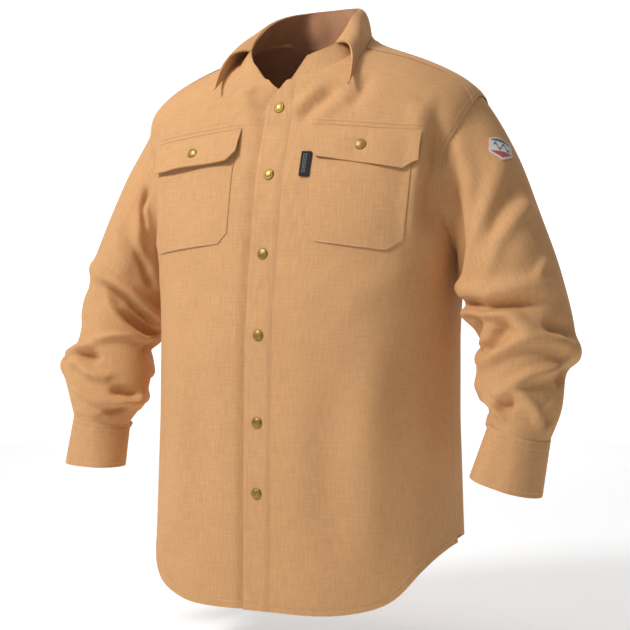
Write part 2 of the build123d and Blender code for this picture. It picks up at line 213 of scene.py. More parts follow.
# Soft folds on the torso: side (1 front, -1 back), line of (x, z), width and height in mm.
TORSO_FOLDS = [
    (1, [(214, -104), (208, -180), (203, -262)], 11, -13),
    (1, [(-214, -120), (-196, -190), (-188, -262)], 15, -8),
    (1, [(194, -130), (187, -205), (182, -285)], 10, 5),
    (1, [(-188, -150), (-176, -215), (-172, -285)], 13, 5),
    (1, [(196, -285), (150, -320), (96, -345)], 20, 3.0),
    (1, [(-194, -285), (-150, -325), (-100, -360)], 20, 3.0),
    (1, [(150, -360), (138, -520), (150, -700)], 22, 5.0),
    (1, [(100, -420), (92, -560), (102, -690)], 22, -3.6),
    (1, [(186, -330), (182, -480), (186, -610)], 22, -3.2),
    (1, [(-148, -350), (-128, -520), (-140, -700)], 22, 4.6),
    (1, [(-92, -420), (-84, -560), (-92, -690)], 22, -2.4),
    (1, [(52, -270), (60, -420), (48, -640)], 22, 1.6),
    (1, [(-60, -262), (-66, -420), (-56, -600)], 20, 1.6),
    (1, [(120, -300), (60, -330), (20, -336)], 14, 1.2),
    (1, [(150, -60), (120, -100), (110, -112)], 18, 1.5),
    (1, [(24, -112), (50, -86), (84, -62)], 9, -6),
    (1, [(96, -96), (112, -70), (120, -40)], 11, -4),
    (1, [(14, -98), (42, -72), (66, -52)], 8, 4),
    (1, [(44, -116), (84, -82), (112, -64)], 10, 3.5),
    (1, [(-46, -52), (-34, -72), (-20, -92)], 8, -5),
    (1, [(-66, -56), (-48, -84), (-38, -112)], 10, 4),
    (1, [(204, -78), (214, -130), (216, -184)], 10, -6),
    (1, [(178, -84), (196, -140), (198, -200)], 12, 5),
    (1, [(-204, -84), (-214, -140), (-216, -190)], 10, -6),
    (-1, [(190, -160), (172, -260), (150, -330)], 18, 5),
    (-1, [(-190, -160), (-172, -260), (-150, -330)], 18, 5),
    (-1, [(120, -170), (112, -400), (128, -690)], 30, 5),
    (-1, [(-120, -170), (-112, -400), (-130, -690)], 30, 5),
    (-1, [(60, -300), (52, -480), (64, -700)], 26, -4),
    (-1, [(-60, -300), (-50, -480), (-66, -700)], 26, -4),
    (-1, [(0, -160), (4, -400), (0, -700)], 28, 4),
    (-1, [(170, -420), (160, -560), (172, -660)], 20, -4),
    (-1, [(-170, -420), (-160, -560), (-172, -660)], 20, -4),
    (-1, [(170, -330), (100, -360), (30, -372)], 16, 2.5),
    (-1, [(-170, -345), (-90, -385), (-20, -392)], 16, 2.5),
]


def build_torso():
    angle = np.linspace(0, 2 * math.pi, ROUND, endpoint=False)[None, :]
    z = ZS[:, None]
    half, front, back, power = profile(z)
    c, s = np.cos(angle), np.sin(angle)
    x = np.sign(c) * np.abs(c) ** (2 / power) * half
    y = (front + back) / 2 + np.sign(s) * np.abs(s) ** (2 / power) * (back - front) / 2
    points = np.stack([x, y, np.broadcast_to(z, x.shape)], axis=2)
    surface = Surface(points)
    offset = np.zeros(x.shape)
    zz = points[..., 2]
    for facing, line, width, height in TORSO_FOLDS:
        on = smoothstep(0.5 - facing * (y - (front + back) / 2) / 60)
        offset += on * ridge(x, zz, line, width, height)
    low = smoothstep((-560 - zz) / 150)
    offset += low * 1.6 * np.sin(angle * 9 + 0.8 * np.sin(angle * 3))
    surface.points = points + surface.normals * offset[..., None]
    surface.update()
    return surface


TORSO_SURFACE = build_torso()
GRAIN = 210.0           # millimetres of cloth per radian, for laying out panels


def torso_at(angle, z, out=0.0):
    column = np.asarray(angle, float) / (2 * math.pi) * ROUND
    p, n = TORSO_SURFACE.at(column, (np.asarray(z, float) - Z_LOW) / Z_STEP)
    return p + n * np.reshape(out, (-1, 1)) if np.ndim(out) else p + n * out, n


# ------------------------------------------------------------------ materials
def node_tree(name):
    m = bpy.data.materials.new(name)
    m.use_nodes = True
    t = m.node_tree
    return m, t.nodes, t.links, t.nodes["Principled BSDF"]


def math_node(nodes, links, kind, a, b):
    n = nodes.new("ShaderNodeMath")
    n.operation = kind
    for k, v in enumerate((a, b)):
        if isinstance(v, (int, float)):
            n.inputs[k].default_value = v
        elif v is not None:
            links.new(v, n.inputs[k])
    return n.outputs[0]


def ramp(nodes, links, fac, stops):
    n = nodes.new("ShaderNodeValToRGB")
    links.new(fac, n.inputs[0])
    e = n.color_ramp.elements
    while len(e) < len(stops):
        e.new(0.5)
    for el, (pos, col) in zip(e, stops):
        el.position, el.color = pos, (*col, 1)
    return n.outputs[0]


def stretched(nodes, links, coords, scale):
    n = nodes.new("ShaderNodeMapping")
    n.inputs["Scale"].default_value = scale
    links.new(coords, n.inputs["Vector"])
    return n.outputs[0]


def noise(nodes, links, coords, scale, detail=3.0):
    n = nodes.new("ShaderNodeTexNoise")
    n.inputs["Scale"].default_value = scale
    n.inputs["Detail"].default_value = detail
    links.new(coords, n.inputs["Vector"])
    return n.outputs["Fac"]


def bumped(nodes, links, height, strength, distance, under=None):
    """The normal of a bumped surface, laid over another bump where one is given."""
    n = nodes.new("ShaderNodeBump")
    n.inputs["Strength"].default_value = strength
    n.inputs["Distance"].default_value = distance
    links.new(height, n.inputs["Height"])
    if under is not None:
        links.new(under, n.inputs["Normal"])
    return n.outputs[0]


def twill(name, dark, light, weave=0.0009, bump=0.35, sheen=0.25):
    """Cotton twill: a diagonal weave in the UV map, which is in metres of cloth."""
    m, nodes, links, shader = node_tree(name)
    uv = nodes.new("ShaderNodeUVMap").outputs[0]
    obj = nodes.new("ShaderNodeTexCoord").outputs["Object"]
    wave = nodes.new("ShaderNodeTexWave")
    wave.bands_direction = "DIAGONAL"
    wave.inputs["Scale"].default_value = 0.32 / weave
    wave.inputs["Distortion"].default_value = 1.2
    wave.inputs["Detail"].default_value = 2.0
    wave.inputs["Detail Scale"].default_value = 3.0
    links.new(uv, wave.inputs["Vector"])
    slub = noise(nodes, links, uv, 1400.0, 2.0)
    cloudy = noise(nodes, links, obj, 9.0, 2.0)
    warp = noise(nodes, links, stretched(nodes, links, uv, (1.0, 0.10, 1.0)), 430.0, 2.0)
    weft = noise(nodes, links, stretched(nodes, links, uv, (0.10, 1.0, 1.0)), 430.0, 2.0)
    mix = math_node(nodes, links, "MULTIPLY", cloudy, 0.16)
    for part, share in ((warp, 0.34), (weft, 0.24), (wave.outputs["Fac"], 0.14), (slub, 0.16)):
        mix = math_node(nodes, links, "ADD", mix, math_node(nodes, links, "MULTIPLY", part, share))
    links.new(ramp(nodes, links, mix, [(0.30, dark), (0.78, light)]), shader.inputs["Base Color"])
    shader.inputs["Roughness"].default_value = 0.88
    shader.inputs["Specular IOR Level"].default_value = 0.25
    shader.inputs["Sheen Weight"].default_value = sheen
    shader.inputs["Sheen Roughness"].default_value = 0.45
    shader.inputs["Sheen Tint"].default_value = (*[min(1, c * 1.6) for c in light], 1)
    height = math_node(nodes, links, "MULTIPLY", wave.outputs["Fac"], 0.6)
    height = math_node(nodes, links, "ADD", height, math_node(nodes, links, "MULTIPLY", slub, 0.5))
    woven = bumped(nodes, links, height, bump, 0.0004)
    creased = bumped(nodes, links, noise(nodes, links, obj, 30.0, 3.0), 0.35, 0.004, woven)
    links.new(creased, shader.inputs["Normal"])
    return m


def brass(name):
    m, nodes, links, shader = node_tree(name)
    obj = nodes.new("ShaderNodeTexCoord").outputs["Object"]
    worn = noise(nodes, links, obj, 260.0, 3.0)
    links.new(ramp(nodes, links, worn, [(0.25, (0.20, 0.120, 0.030)), (0.60, (0.34, 0.215, 0.058)),
                                        (0.85, (0.46, 0.31, 0.10))]), shader.inputs["Base Color"])
    shader.inputs["Metallic"].default_value = 0.75
    links.new(ramp(nodes, links, noise(nodes, links, obj, 900.0, 3.0),
                   [(0.3, (0.34,) * 3), (0.7, (0.52,) * 3)]), shader.inputs["Roughness"])
    links.new(bumped(nodes, links, worn, 0.25, 0.0003), shader.inputs["Normal"])
    return m


def thread(name, dark, light):
    m, nodes, links, shader = node_tree(name)
    obj = nodes.new("ShaderNodeTexCoord").outputs["Object"]
    links.new(ramp(nodes, links, noise(nodes, links, obj, 700.0, 2.0), [(0.3, dark), (0.7, light)]),
              shader.inputs["Base Color"])
    shader.inputs["Roughness"].default_value = 0.7
    shader.inputs["Sheen Weight"].default_value = 0.3
    links.new(bumped(nodes, links, noise(nodes, links, obj, 3000.0, 2.0), 0.4, 0.0002),
              shader.inputs["Normal"])
    return m


TWILL = twill("tan_twill", (0.47, 0.248, 0.105), (0.70, 0.388, 0.180))
# The inner faces, the yoke lining and the inner collar stand take a darker, redder copy of the tan twill:
# painted shade, with a painted warm tint of light coming through the cloth.
PAINTED_SHADE_TWILL = twill("twill_inside", (0.36, 0.170, 0.088), (0.50, 0.255, 0.140), bump=0.5)
THREAD = thread("tan_thread", (0.60, 0.37, 0.22), (0.80, 0.55, 0.36))
BRASS = brass("antique_brass")
LABEL = twill("black_label_tape", (0.008, 0.008, 0.009), (0.03, 0.03, 0.032), weave=0.0006)
BADGE = twill("badge_grey", (0.10, 0.10, 0.11), (0.20, 0.20, 0.215), weave=0.0006)
BADGE_EDGE = thread("badge_edge", (0.52, 0.44, 0.43), (0.70, 0.62, 0.60))
BADGE_RED = thread("badge_red", (0.30, 0.02, 0.02), (0.48, 0.05, 0.04))
LABEL_MARK = thread("label_mark", (0.45, 0.45, 0.44), (0.65, 0.65, 0.64))


# ------------------------------------------------------------------ mesh helpers
def new_object(name, points, faces, materials, uv=None, face_materials=None):
    mesh = bpy.data.meshes.new(name)
    mesh.from_pydata((np.asarray(points) * MM).tolist(), [], [tuple(int(i) for i in f) for f in faces])
    for m in materials:
        mesh.materials.append(m)
    if face_materials is not None:
        mesh.polygons.foreach_set("material_index", np.asarray(face_materials, np.int32))
    layer = mesh.uv_layers.new(name="cloth")
    loops = np.zeros(len(mesh.loops), np.int32)
    mesh.loops.foreach_get("vertex_index", loops)
    uv = np.asarray(points)[:, [0, 2]] if uv is None else np.asarray(uv)
    layer.data.foreach_set("uv", (uv[loops] * MM).astype(np.float32).ravel())
    mesh.polygons.foreach_set("use_smooth", np.ones(len(mesh.polygons), bool))
    mesh.update()
    o = bpy.data.objects.new(name + "_shaped" if name in CAD_NODES else name, mesh)
    bpy.context.scene.collection.objects.link(o)
    return o


def same_node(o):
    """The CAD node whose name a rebuilt piece carries."""
    return o.name.removesuffix("_shaped")


def vertex_normals(points, faces):
    n = np.zeros_like(points)
    for size in (3, 4):
        f = np.array([g for g in faces if len(g) == size])
        if len(f):
            k = np.cross(points[f[:, 1]] - points[f[:, 0]], points[f[:, 2]] - points[f[:, 0]])
            if size == 4:
                k = k + np.cross(points[f[:, 2]] - points[f[:, 0]], points[f[:, 3]] - points[f[:, 0]])
            for c in range(size):
                np.add.at(n, f[:, c], k)
    return n / np.maximum(np.linalg.norm(n, axis=1), 1e-9)[:, None]


def facing(faces, points, normals):
    """The faces, all reversed if they look against the points' normals."""
    f = np.array(faces)
    k = np.cross(points[f[:, 1]] - points[f[:, 0]], points[f[:, 2]] - points[f[:, 0]])
    return [tuple(reversed(g)) for g in faces] if (k * normals[f[:, 0]]).sum() < 0 else faces


def cloth_object(name, points, faces, thick=0.9, uv=None, materials=(None, None)):
    """A closed sheet: an outer face, an inner face and the cut edges between them."""
    points = np.asarray(points, float)
    faces = [tuple(f) for f in faces]
    inner = points - vertex_normals(points, faces) * thick
    count = len(points)
    edges = {}
    for f in faces:
        for a, b in zip(f, f[1:] + f[:1]):
            edges[(a, b)] = True
    rim = [(a, b) for (a, b) in edges if (b, a) not in edges]
    back = [tuple(i + count for i in reversed(f)) for f in faces]
    sides = [(b, a, a + count, b + count) for a, b in rim]
    outside, inside = materials
    # Inner faces default to the darker, redder twill: painted shade.
    mats = [outside or TWILL, inside or PAINTED_SHADE_TWILL]
    index = [0] * len(faces) + [1] * len(back) + [0] * len(sides)
    uv = points[:, [0, 2]] if uv is None else np.asarray(uv)
    o = new_object(name, np.vstack([points, inner]), faces + back + sides, mats,
                   np.vstack([uv, uv]), index)
    sharp = np.zeros(len(o.data.edges), bool)
    rims = {tuple(sorted((a + k, b + k))) for a, b in rim for k in (0, count)}
    for e in o.data.edges:
        if tuple(sorted(e.vertices)) in rims:
            sharp[e.index] = True
    attribute = o.data.attributes.new("sharp_edge", "BOOLEAN", "EDGE")
    attribute.data.foreach_set("value", sharp)
    return o


def dense(line, step=4.0):
    """Points along a polyline no further apart than step."""
    line = np.asarray(line, float)
    out = [line[0]]
    for a, b in zip(line, line[1:]):
        n = max(1, int(np.ceil(np.linalg.norm(b - a) / step)))
        out += [a + (b - a) * k / n for k in range(1, n + 1)]
    return np.array(out)


def inside_polygon(points, poly):
    x, y = points[:, 0], points[:, 1]
    inside = np.zeros(len(points), bool)
    for (x1, y1), (x2, y2) in zip(poly, np.roll(poly, -1, axis=0)):
        crosses = (y1 > y) != (y2 > y)
        if y1 != y2:
            inside ^= crosses & (x < (x2 - x1) * (y - y1) / (y2 - y1) + x1)
    return inside


def fill(poly, step):
    """Triangles over a region: its border's points and a staggered grid inside it."""
    keep = [poly[0]]
    for p in poly[1:]:
        if np.linalg.norm(p - keep[-1]) > 0.35 * step:
            keep.append(p)
    while np.linalg.norm(keep[-1] - keep[0]) < 0.35 * step:
        keep.pop()
    poly = np.array(keep)
    low, high = poly.min(0), poly.max(0)
    ys = np.arange(low[1], high[1], step * 0.866)
    grid = np.array([(x + (k % 2) * step / 2, y) for k, y in enumerate(ys)
                     for x in np.arange(low[0], high[0], step)])
    grid = grid[inside_polygon(grid, poly)]
    clear = np.full(len(grid), 1e9)
    for a, b in zip(poly, np.roll(poly, -1, axis=0)):
        d = b - a
        t = np.clip(((grid - a) @ d) / max(d @ d, 1e-9), 0, 1)
        clear = np.minimum(clear, np.linalg.norm(grid - a - t[:, None] * d, axis=1))
    points = np.vstack([poly, grid[clear > 0.55 * step]])
    result = delaunay_2d_cdt([Vector(p) for p in points], [], [list(range(len(poly)))], 1, 1e-5)
    flat = np.array([tuple(v) for v in result[0]])
    return flat, [tuple(f) for f in result[2]]


def grid_faces(rows, cols):
    """The faces of an open grid of points, row by row."""
    corners = [r * cols + c for r in range(rows - 1) for c in range(cols - 1)]
    return [(k, k + 1, k + cols + 1, k + cols) for k in corners]


def stitches(name, runs, pitch=3.3, length=2.5, radius=0.32):
    """Rows of single stitches along lines; each run is (points, normals), in millimetres."""
    ring = [(math.cos(a), math.sin(a)) for a in np.arange(6) * math.pi / 3]
    taper = ((-1, 0.35), (-0.55, 1), (0.55, 1), (1, 0.35))
    shape = np.array([(t * length / 2, c * radius * w, s * radius * w) for t, w in taper for c, s in ring])
    quads = [(r * 6 + k, r * 6 + (k + 1) % 6, (r + 1) * 6 + (k + 1) % 6, (r + 1) * 6 + k)
             for r in range(3) for k in range(6)]
    caps = [(5, 4, 3, 2, 1, 0), (18, 19, 20, 21, 22, 23)]
    verts, faces = [], []
    for points, normals in runs:
        d = lengths_along(points)
        for s in np.arange(pitch / 2, d[-1], pitch):
            p, n = rows_at(s, d, points), rows_at(s, d, normals)
            ahead = rows_at(s + 0.5, d, points) - rows_at(s - 0.5, d, points)
            t = ahead / max(np.linalg.norm(ahead), 1e-9)
            n = n - t * (n @ t)
            n /= max(np.linalg.norm(n), 1e-9)
            b = np.cross(n, t)
            base = len(verts) * 24
            verts.append(p + shape[:, :1] * t + shape[:, 1:2] * b + shape[:, 2:] * n * 0.8)
            faces += [tuple(i + base for i in f) for f in quads + caps]
    return new_object(name, np.vstack(verts), faces, [THREAD])


# ------------------------------------------------------------------ lines that the panels share
def hem_table(points):
    half = spline(np.vstack([points[::-1] * (-1, 1), points[1:]]), 400)[200:]
    return half[:, 0], half[:, 1]


FRONT_TABLE, BACK_TABLE = hem_table(FRONT_HEM), hem_table(BACK_HEM)


def hem_z(x):
    return np.interp(np.abs(x), *FRONT_TABLE)


def hem_line(angles, table=FRONT_TABLE):
    """Angle and height of the hem: the height depends on the width reached at that angle."""
    z = np.full(len(angles), -700.0)
    for _ in range(12):
        z = np.interp(np.abs(torso_at(angles, z)[0][:, 0]), *table)
    return np.stack([angles, z], axis=1)


def armhole_line(side, first, last, count=80):
    """Part of the armhole oval, between two angles of the oval, 0 at its front and 90 at its top."""
    a = np.radians(np.linspace(first, last, count))
    y, z = -ARM_HALF_DEPTH * np.cos(a), ARM_Z + ARM_HALF_HEIGHT * np.sin(a)
    return np.stack([side_angle(y, z, side), z], axis=1)


def surface_angle(x, y, z):
    """The angle round the torso that lies nearest to a point."""
    half, front, back, power = profile(z)
    c, s = x / half, (y - (front + back) / 2) / ((back - front) / 2)
    return np.arctan2(np.sign(s) * np.abs(s) ** (power / 2), np.sign(c) * np.abs(c) ** (power / 2))


# The neckline on the wearer's left, from the middle of the back to the front, roughly (x, y, z).
NECK_KEYS = [(0, 62, 28), (37, 52, 24), (65, 26, 17), (76, -10, 7), (77, -38, -6), (68, -64, -24),
             (42, -80, -40), (8, -86, -49)]


def on_skin(points, out=0.0):
    """Points near the torso moved onto it."""
    p = np.asarray(points, float)
    return torso_at(surface_angle(p[:, 0], p[:, 1], p[:, 2]), p[:, 2], out)[0]


def neck_line(side):
    """The neckline seam as (angle, z), from the middle of the back to the front."""
    p = np.array(NECK_KEYS, float)
    angle = surface_angle(p[:, 0], p[:, 1], p[:, 2])
    line = spline(np.stack([(angle if side > 0 else math.pi - angle) * GRAIN, p[:, 2]], axis=1), 160)
    return line / (GRAIN, 1)


def cut_at(line, value):
    """Splits a line of (angle, z) where the torso's y passes a value; returns both parts."""
    y = torso_at(line[:, 0], line[:, 1])[0][:, 1]
    k = int(np.argmax(np.sign(y - value) != np.sign(y[0] - value)))
    t = (value - y[k - 1]) / (y[k] - y[k - 1])
    at = line[k - 1] + (line[k] - line[k - 1]) * t
    return np.vstack([line[:k], at]), np.vstack([at, line[k:]])


def oval_angle(y):
    """The angle of the armhole oval, on its upper half, where it passes a y."""
    return math.degrees(math.acos(-y / ARM_HALF_DEPTH))


def yoke_armhole(side):
    """The armhole where the sleeve joins the yoke, from front to back."""
    return armhole_line(side, oval_angle(YOKE_FRONT_Y), YOKE_ARM_ANGLE, 90)


def back_armhole(side):
    """The armhole where the sleeve joins the back, from the yoke down to the side seam."""
    return armhole_line(side, YOKE_ARM_ANGLE, 360 - oval_angle(SIDE_Y), 70)


def side_seam(side, top, count):
    """The side seam as (angle, z), from a height down."""
    z = np.linspace(top, SIDE_LOW, count)
    return np.stack([side_angle(SIDE_Y, z, side), z], axis=1)


def yoke_seam(side, y=YOKE_FRONT_Y):
    """The seam over the front of the shoulder, from the neckline to the armhole."""
    neck = cut_at(neck_line(side), y)[0][-1]
    arm = armhole_line(side, oval_angle(y), oval_angle(y) + 1, 2)[0]
    z = np.linspace(neck[1], arm[1], 60)
    return np.stack([side_angle(y, z, side), z], axis=1)


# Front edges above the top snap, as (x, z).
LEFT_EDGE = [(-19, -102), (-19.5, -91), (-16, -78), (-4, -62), (6, -49)]
RIGHT_EDGE = [(21, -92), (8, -76), (-6, -60), (-22, -47)]


def front_outline(side):
    """A front's border as (angle, z)."""
    edge = np.array(LEFT_EDGE if side > 0 else RIGHT_EDGE, float)
    x0 = edge[0][0]
    hem0 = hem_z(x0)
    z = np.linspace(hem0, edge[0][1], 160)
    centre = np.stack([front_angle(np.full(len(z), x0), z), z], axis=1)
    vee = np.stack([front_angle(edge[1:, 0], edge[1:, 1]), edge[1:, 1]], axis=1)
    top_y = YOKE_FRONT_Y + SEAM_LAP
    neck = cut_at(neck_line(side), top_y)[1][::-1]
    if side < 0:
        neck = neck - (2 * math.pi, 0)
        neck = neck[neck[:, 0] < vee[-1, 0] - 0.02]
    else:
        neck = neck[neck[:, 0] > vee[-1, 0] + 0.02]
    seam = yoke_seam(side, top_y) - ((2 * math.pi, 0) if side < 0 else (0, 0))
    arm = armhole_line(side, oval_angle(top_y), -oval_angle(SIDE_Y))
    sides = side_seam(side, arm[-1, 1], 110)
    if side < 0:
        arm, sides = arm - (2 * math.pi, 0), sides - (2 * math.pi, 0)
    hem = hem_line(np.linspace(sides[-1, 0], centre[0, 0], 90))
    sides = sides[sides[:, 1] > hem[0, 1]]
    return np.vstack([centre, vee, neck, seam[1:], arm[1:], sides[1:], hem[:-1]])


def front_shape(points):
    """An outline on the front given as (x, z), as (angle, z)."""
    p = dense(points, 3.0)
    return np.stack([front_angle(p[:, 0], p[:, 1]), p[:, 1]], axis=1)


def back_outline():
    """The back panel's border as (angle, z)."""
    arm_l, arm_r = back_armhole(1), back_armhole(-1)
    left, right = [side_seam(side, arm_l[-1, 1], 110) for side in (1, -1)]
    hem = hem_line(np.linspace(left[-1, 0], right[-1, 0], 240), BACK_TABLE)
    left, right = left[left[:, 1] > hem[0, 1]], right[right[:, 1] > hem[-1, 1]]
    top = np.stack([np.linspace(arm_r[0, 0], arm_l[0, 0], 120),
                    np.full(120, YOKE_BACK_Z + SEAM_LAP)], axis=1)
    return np.vstack([arm_l, left[1:], hem, right[::-1][1:], arm_r[::-1][1:], top[1:-1]])


def yoke_outline(drop=0.0):
    """The yoke's border as (angle, z), its neck edge lowered by drop and by three times that behind."""
    neck_l = cut_at(neck_line(1), YOKE_FRONT_Y)[0]
    neck_r = cut_at(neck_line(-1), YOKE_FRONT_Y)[0]
    arm_l, arm_r = yoke_armhole(1), yoke_armhole(-1)
    low = np.stack([np.linspace(arm_l[-1, 0], arm_r[-1, 0], 120), np.full(120, YOKE_BACK_Z)], axis=1)
    neck_r, neck_l = [
        line - np.stack([0 * line[:, 1], drop * (1 + 2 * smoothstep((line[:, 1] - 15) / 8))], axis=1)
        for line in (neck_r, neck_l)]
    return np.vstack([neck_r[::-1], neck_l[1:], yoke_seam(1)[1:], arm_l[1:], low[1:-1],
                      arm_r[::-1], yoke_seam(-1)[::-1][1:-1]])


# ------------------------------------------------------------------ sleeves
# Rings down each sleeve, written for the left side: outer point, inner point, half depth.
LEFT_RINGS = [((286, -2, -150), (219, -6, -316), 68), ((318, -10, -225), (229, -14, -346), 69),
              ((350, -20, -305), (242, -26, -374), 67), ((371, -32, -384), (250, -44, -399), 62),
              ((364, -48, -430), (255, -58, -437), 57), ((363, -66, -474), (275, -74, -466), 50),
              ((352, -78, -510), (283, -86, -490), 42)]
RIGHT_RINGS = [((286, -2, -150), (219, -6, -316), 68), ((318, -10, -225), (229, -14, -346), 69),
               ((343, -20, -300), (238, -26, -374), 66), ((353, -32, -384), (240, -44, -399), 61),
               ((366, -48, -432), (238, -58, -440), 57), ((346, -66, -472), (240, -74, -478), 50),
               ((326, -79, -497), (261, -86, -512), 43)]
CUFF_RINGS = {1: [((354, -77, -506), (280.5, -85, -485), 43.5), ((350, -98, -572), (263, -104, -549), 43)],
              -1: [((328, -77, -492), (258.5, -85, -507), 44.5), ((332, -97, -559), (250, -104, -564), 42)]}
COLUMNS = 144
SLEEVE_ROWS = 191
TURN = np.linspace(0, 2 * math.pi, COLUMNS, endpoint=False)


def ellipse(outer, inner, depth, side, count=COLUMNS):
    outer, inner = np.array(outer, float), np.array(inner, float)
    across = (outer - inner) / 2
    unit = across / np.linalg.norm(across)
    away = np.array([0.0, 1.0, 0.0]) - unit * unit[1]
    away = -away / np.linalg.norm(away) * depth
    turn = np.linspace(0, 2 * math.pi, count, endpoint=False)[:, None]
    p = (outer + inner) / 2 + np.cos(turn) * across + np.sin(turn) * away
    p[:, 0] *= side
    return p


def armhole_ring(side, scale, out):
    a = math.pi / 2 - TURN
    y, z = -ARM_HALF_DEPTH * scale * np.cos(a), ARM_Z + ARM_HALF_HEIGHT * scale * np.sin(a)
    return torso_at(side_angle(y, z, side), z, out)[0]


def sleeve_base(side):
    """A sleeve without folds: its grid, and each row's ring number and distance down the sleeve."""
    rings = [armhole_ring(side, 1.05, -0.3), armhole_ring(side, 0.985, 1.1)]
    rings += [ellipse(*r, side) for r in (LEFT_RINGS if side > 0 else RIGHT_RINGS)]
    rings = np.array(rings)
    gaps = [np.linalg.norm(b - a, axis=1).mean() for a, b in zip(rings, rings[1:])]
    steps = np.concatenate([[0], np.cumsum(gaps)])
    flat = rings.reshape(len(rings), -1)
    along = np.linspace(0, steps[-1], SLEEVE_ROWS)
    p = hermite(flat, np.gradient(flat, steps, axis=0), steps, along)
    rows = np.interp(along, steps, np.arange(-2, len(rings) - 2))
    return p.reshape(SLEEVE_ROWS, COLUMNS, 3), rows, along


# Sleeve folds: lines of (degrees round from the outside over the front, ring number), width, height.
# Ring 0 is the armhole and ring 1 the first of the rings above.
LEFT_FOLDS = [
    ([(165, 0.8), (132, 2.0), (99, 2.72), (69, 2.98), (42, 3.12), (0, 3.4)], 9, 14),
    ([(150, 1.2), (110, 1.9), (60, 2.3), (10, 2.6)], 24, 5),
    ([(155, 1.95), (114, 2.9), (90, 3.12), (63, 3.25), (40, 3.42)], 6.5, -13),
    ([(170, 1.9), (140, 2.5), (111, 3.05), (87, 3.36), (78, 3.65), (69, 3.9), (39, 4.05), (350, 4.4)], 8, 12),
    ([(25, 4.2), (350, 4.4), (325, 4.4)], 13, 11),
    ([(56, 3.8), (87, 4.0), (114, 4.3), (145, 4.6)], 8, 12),
    ([(104, 3.3), (100, 3.6), (126, 4.0), (155, 4.05)], 9, -13),
    ([(128, 2.95), (150, 3.35), (168, 3.8)], 9, -13),
    ([(145, 2.2), (168, 2.7), (195, 3.0)], 15, 15),
    ([(145, 4.1), (178, 4.1)], 9, -15),
    ([(145, 5.0), (170, 5.15), (200, 5.1)], 13, 9),
    ([(10, 4.62), (66, 4.9), (90, 5.25), (128, 5.7)], 8, 10),
    ([(60, 3.75), (30, 3.8), (0, 3.9)], 7, -10),
    ([(30, 5.0), (345, 4.95)], 9, -9),
    ([(96, 5.3), (75, 5.55), (57, 5.95), (45, 6.6)], 7, 8),
    ([(125, 6.0), (108, 5.85), (84, 5.62)], 7, -10),
    ([(42, 5.7), (21, 6.45)], 8, -6),
    ([(155, 5.4), (126, 5.95), (102, 6.5)], 8, 6),
    ([(0, 1.85), (48, 1.95), (72, 2.05), (99, 2.45)], 9, 6),
    ([(10, 1.5), (62, 1.62), (92, 1.8)], 12, -4),
    ([(5, 0.9), (59, 1.2), (102, 1.4), (132, 1.8)], 14, 4),
    ([(18, 2.7), (54, 3.0)], 5, 4),
    ([(88, -0.1), (110, 0.5), (128, 1.0), (138, 1.6)], 12, -10),
    ([(62, -0.3), (70, 0.4), (84, 1.0)], 11, 4),
]
RIGHT_FOLDS = [
    ([(30, 2.8), (57, 2.6), (87, 2.4), (105, 2.25), (123, 2.15), (147, 2.25), (180, 2.5), (210, 2.9)], 9, 14),
    ([(80, 2.66), (105, 2.47), (125, 2.40), (147, 2.52), (178, 2.85)], 6, -11),
    ([(90, 2.5), (106, 2.9), (123, 3.15), (156, 3.65), (190, 3.85)], 8, 11),
    ([(122, 2.72), (147, 3.0), (171, 3.25), (200, 3.4)], 10, -13),
    ([(88, 4.1), (129, 3.7), (152, 3.8)], 7, 6),
    ([(165, 4.0), (189, 4.1), (220, 4.5)], 12, -17),
    ([(50, 4.95), (66, 4.75), (84, 4.68), (102, 5.0), (120, 5.1), (136, 4.85)], 7, 10),
    ([(40, 4.65), (59, 4.45), (80, 4.22), (104, 4.15)], 7, 11),
    ([(74, 4.45), (99, 4.45), (114, 4.62)], 6, -12),
    ([(45, 5.25), (72, 5.5), (105, 5.9), (141, 6.0), (180, 5.9), (218, 6.2)], 8, 10),
    ([(125, 5.5), (150, 5.6), (178, 5.8)], 7, -11),
    ([(122, 6.3), (144, 6.28), (172, 6.12)], 6, -9),
    ([(20, 3.0), (60, 3.05)], 12, -4),
    ([(15, 3.9), (64, 3.95)], 12, -7),
    ([(15, 4.7), (52, 4.9)], 14, 8),
    ([(96, 0.3), (102, 0.85), (125, 1.2)], 10, 7),
    ([(80, 0.3), (92, 0.55), (112, 0.62)], 6, -9),
    ([(100, 1.1), (126, 1.15), (152, 1.55)], 9, -8),
    ([(58, 6.6), (95, 6.5), (132, 6.6)], 5, 3),
    ([(60, 1.2), (90, 1.6), (120, 1.8)], 18, 4),
]


def fold_field(lines, rows, along, radius=58.0):
    """Heights of a sleeve's folds over its grid; degrees are unrolled on the given radius."""
    station = np.interp(np.arange(-2, 8), rows, along)
    total = np.zeros((len(rows), COLUMNS))
    x = TURN[None, :] * radius + np.zeros((len(rows), 1))
    z = along[:, None] + np.zeros((1, COLUMNS))
    for line, width, height in lines:
        degrees = np.degrees(np.unwrap(np.radians([p[0] for p in line])))
        pts = [(math.radians(d) * radius, np.interp(p[1] - 1, np.arange(-2, 8), station))
               for d, p in zip(degrees, line)]
        for shift in (-2, 0, 2):
            total += ridge(x + shift * math.pi * radius, z, pts, width, height)
    return total


def doubled(p):
    """The same surface on a grid twice as fine, rows and closed columns, by cubic midpoints."""
    mid = (9 * (p + np.roll(p, -1, 1)) - np.roll(p, 1, 1) - np.roll(p, -2, 1)) / 16
    wide = np.empty((p.shape[0], p.shape[1] * 2, 3))
    wide[:, ::2], wide[:, 1::2] = p, mid
    before = np.concatenate([2 * wide[:1] - wide[1:2], wide[:-1]])
    after = np.concatenate([wide[1:], 2 * wide[-1:] - wide[-2:-1]])
    beyond = np.concatenate([after[1:], 2 * after[-1:] - after[-2:-1]])
    mid = (9 * (wide + after) - before - beyond) / 16
    tall = np.empty((p.shape[0] * 2 - 1, wide.shape[1], 3))
    tall[::2], tall[1::2] = wide, mid[:-1]
    return tall


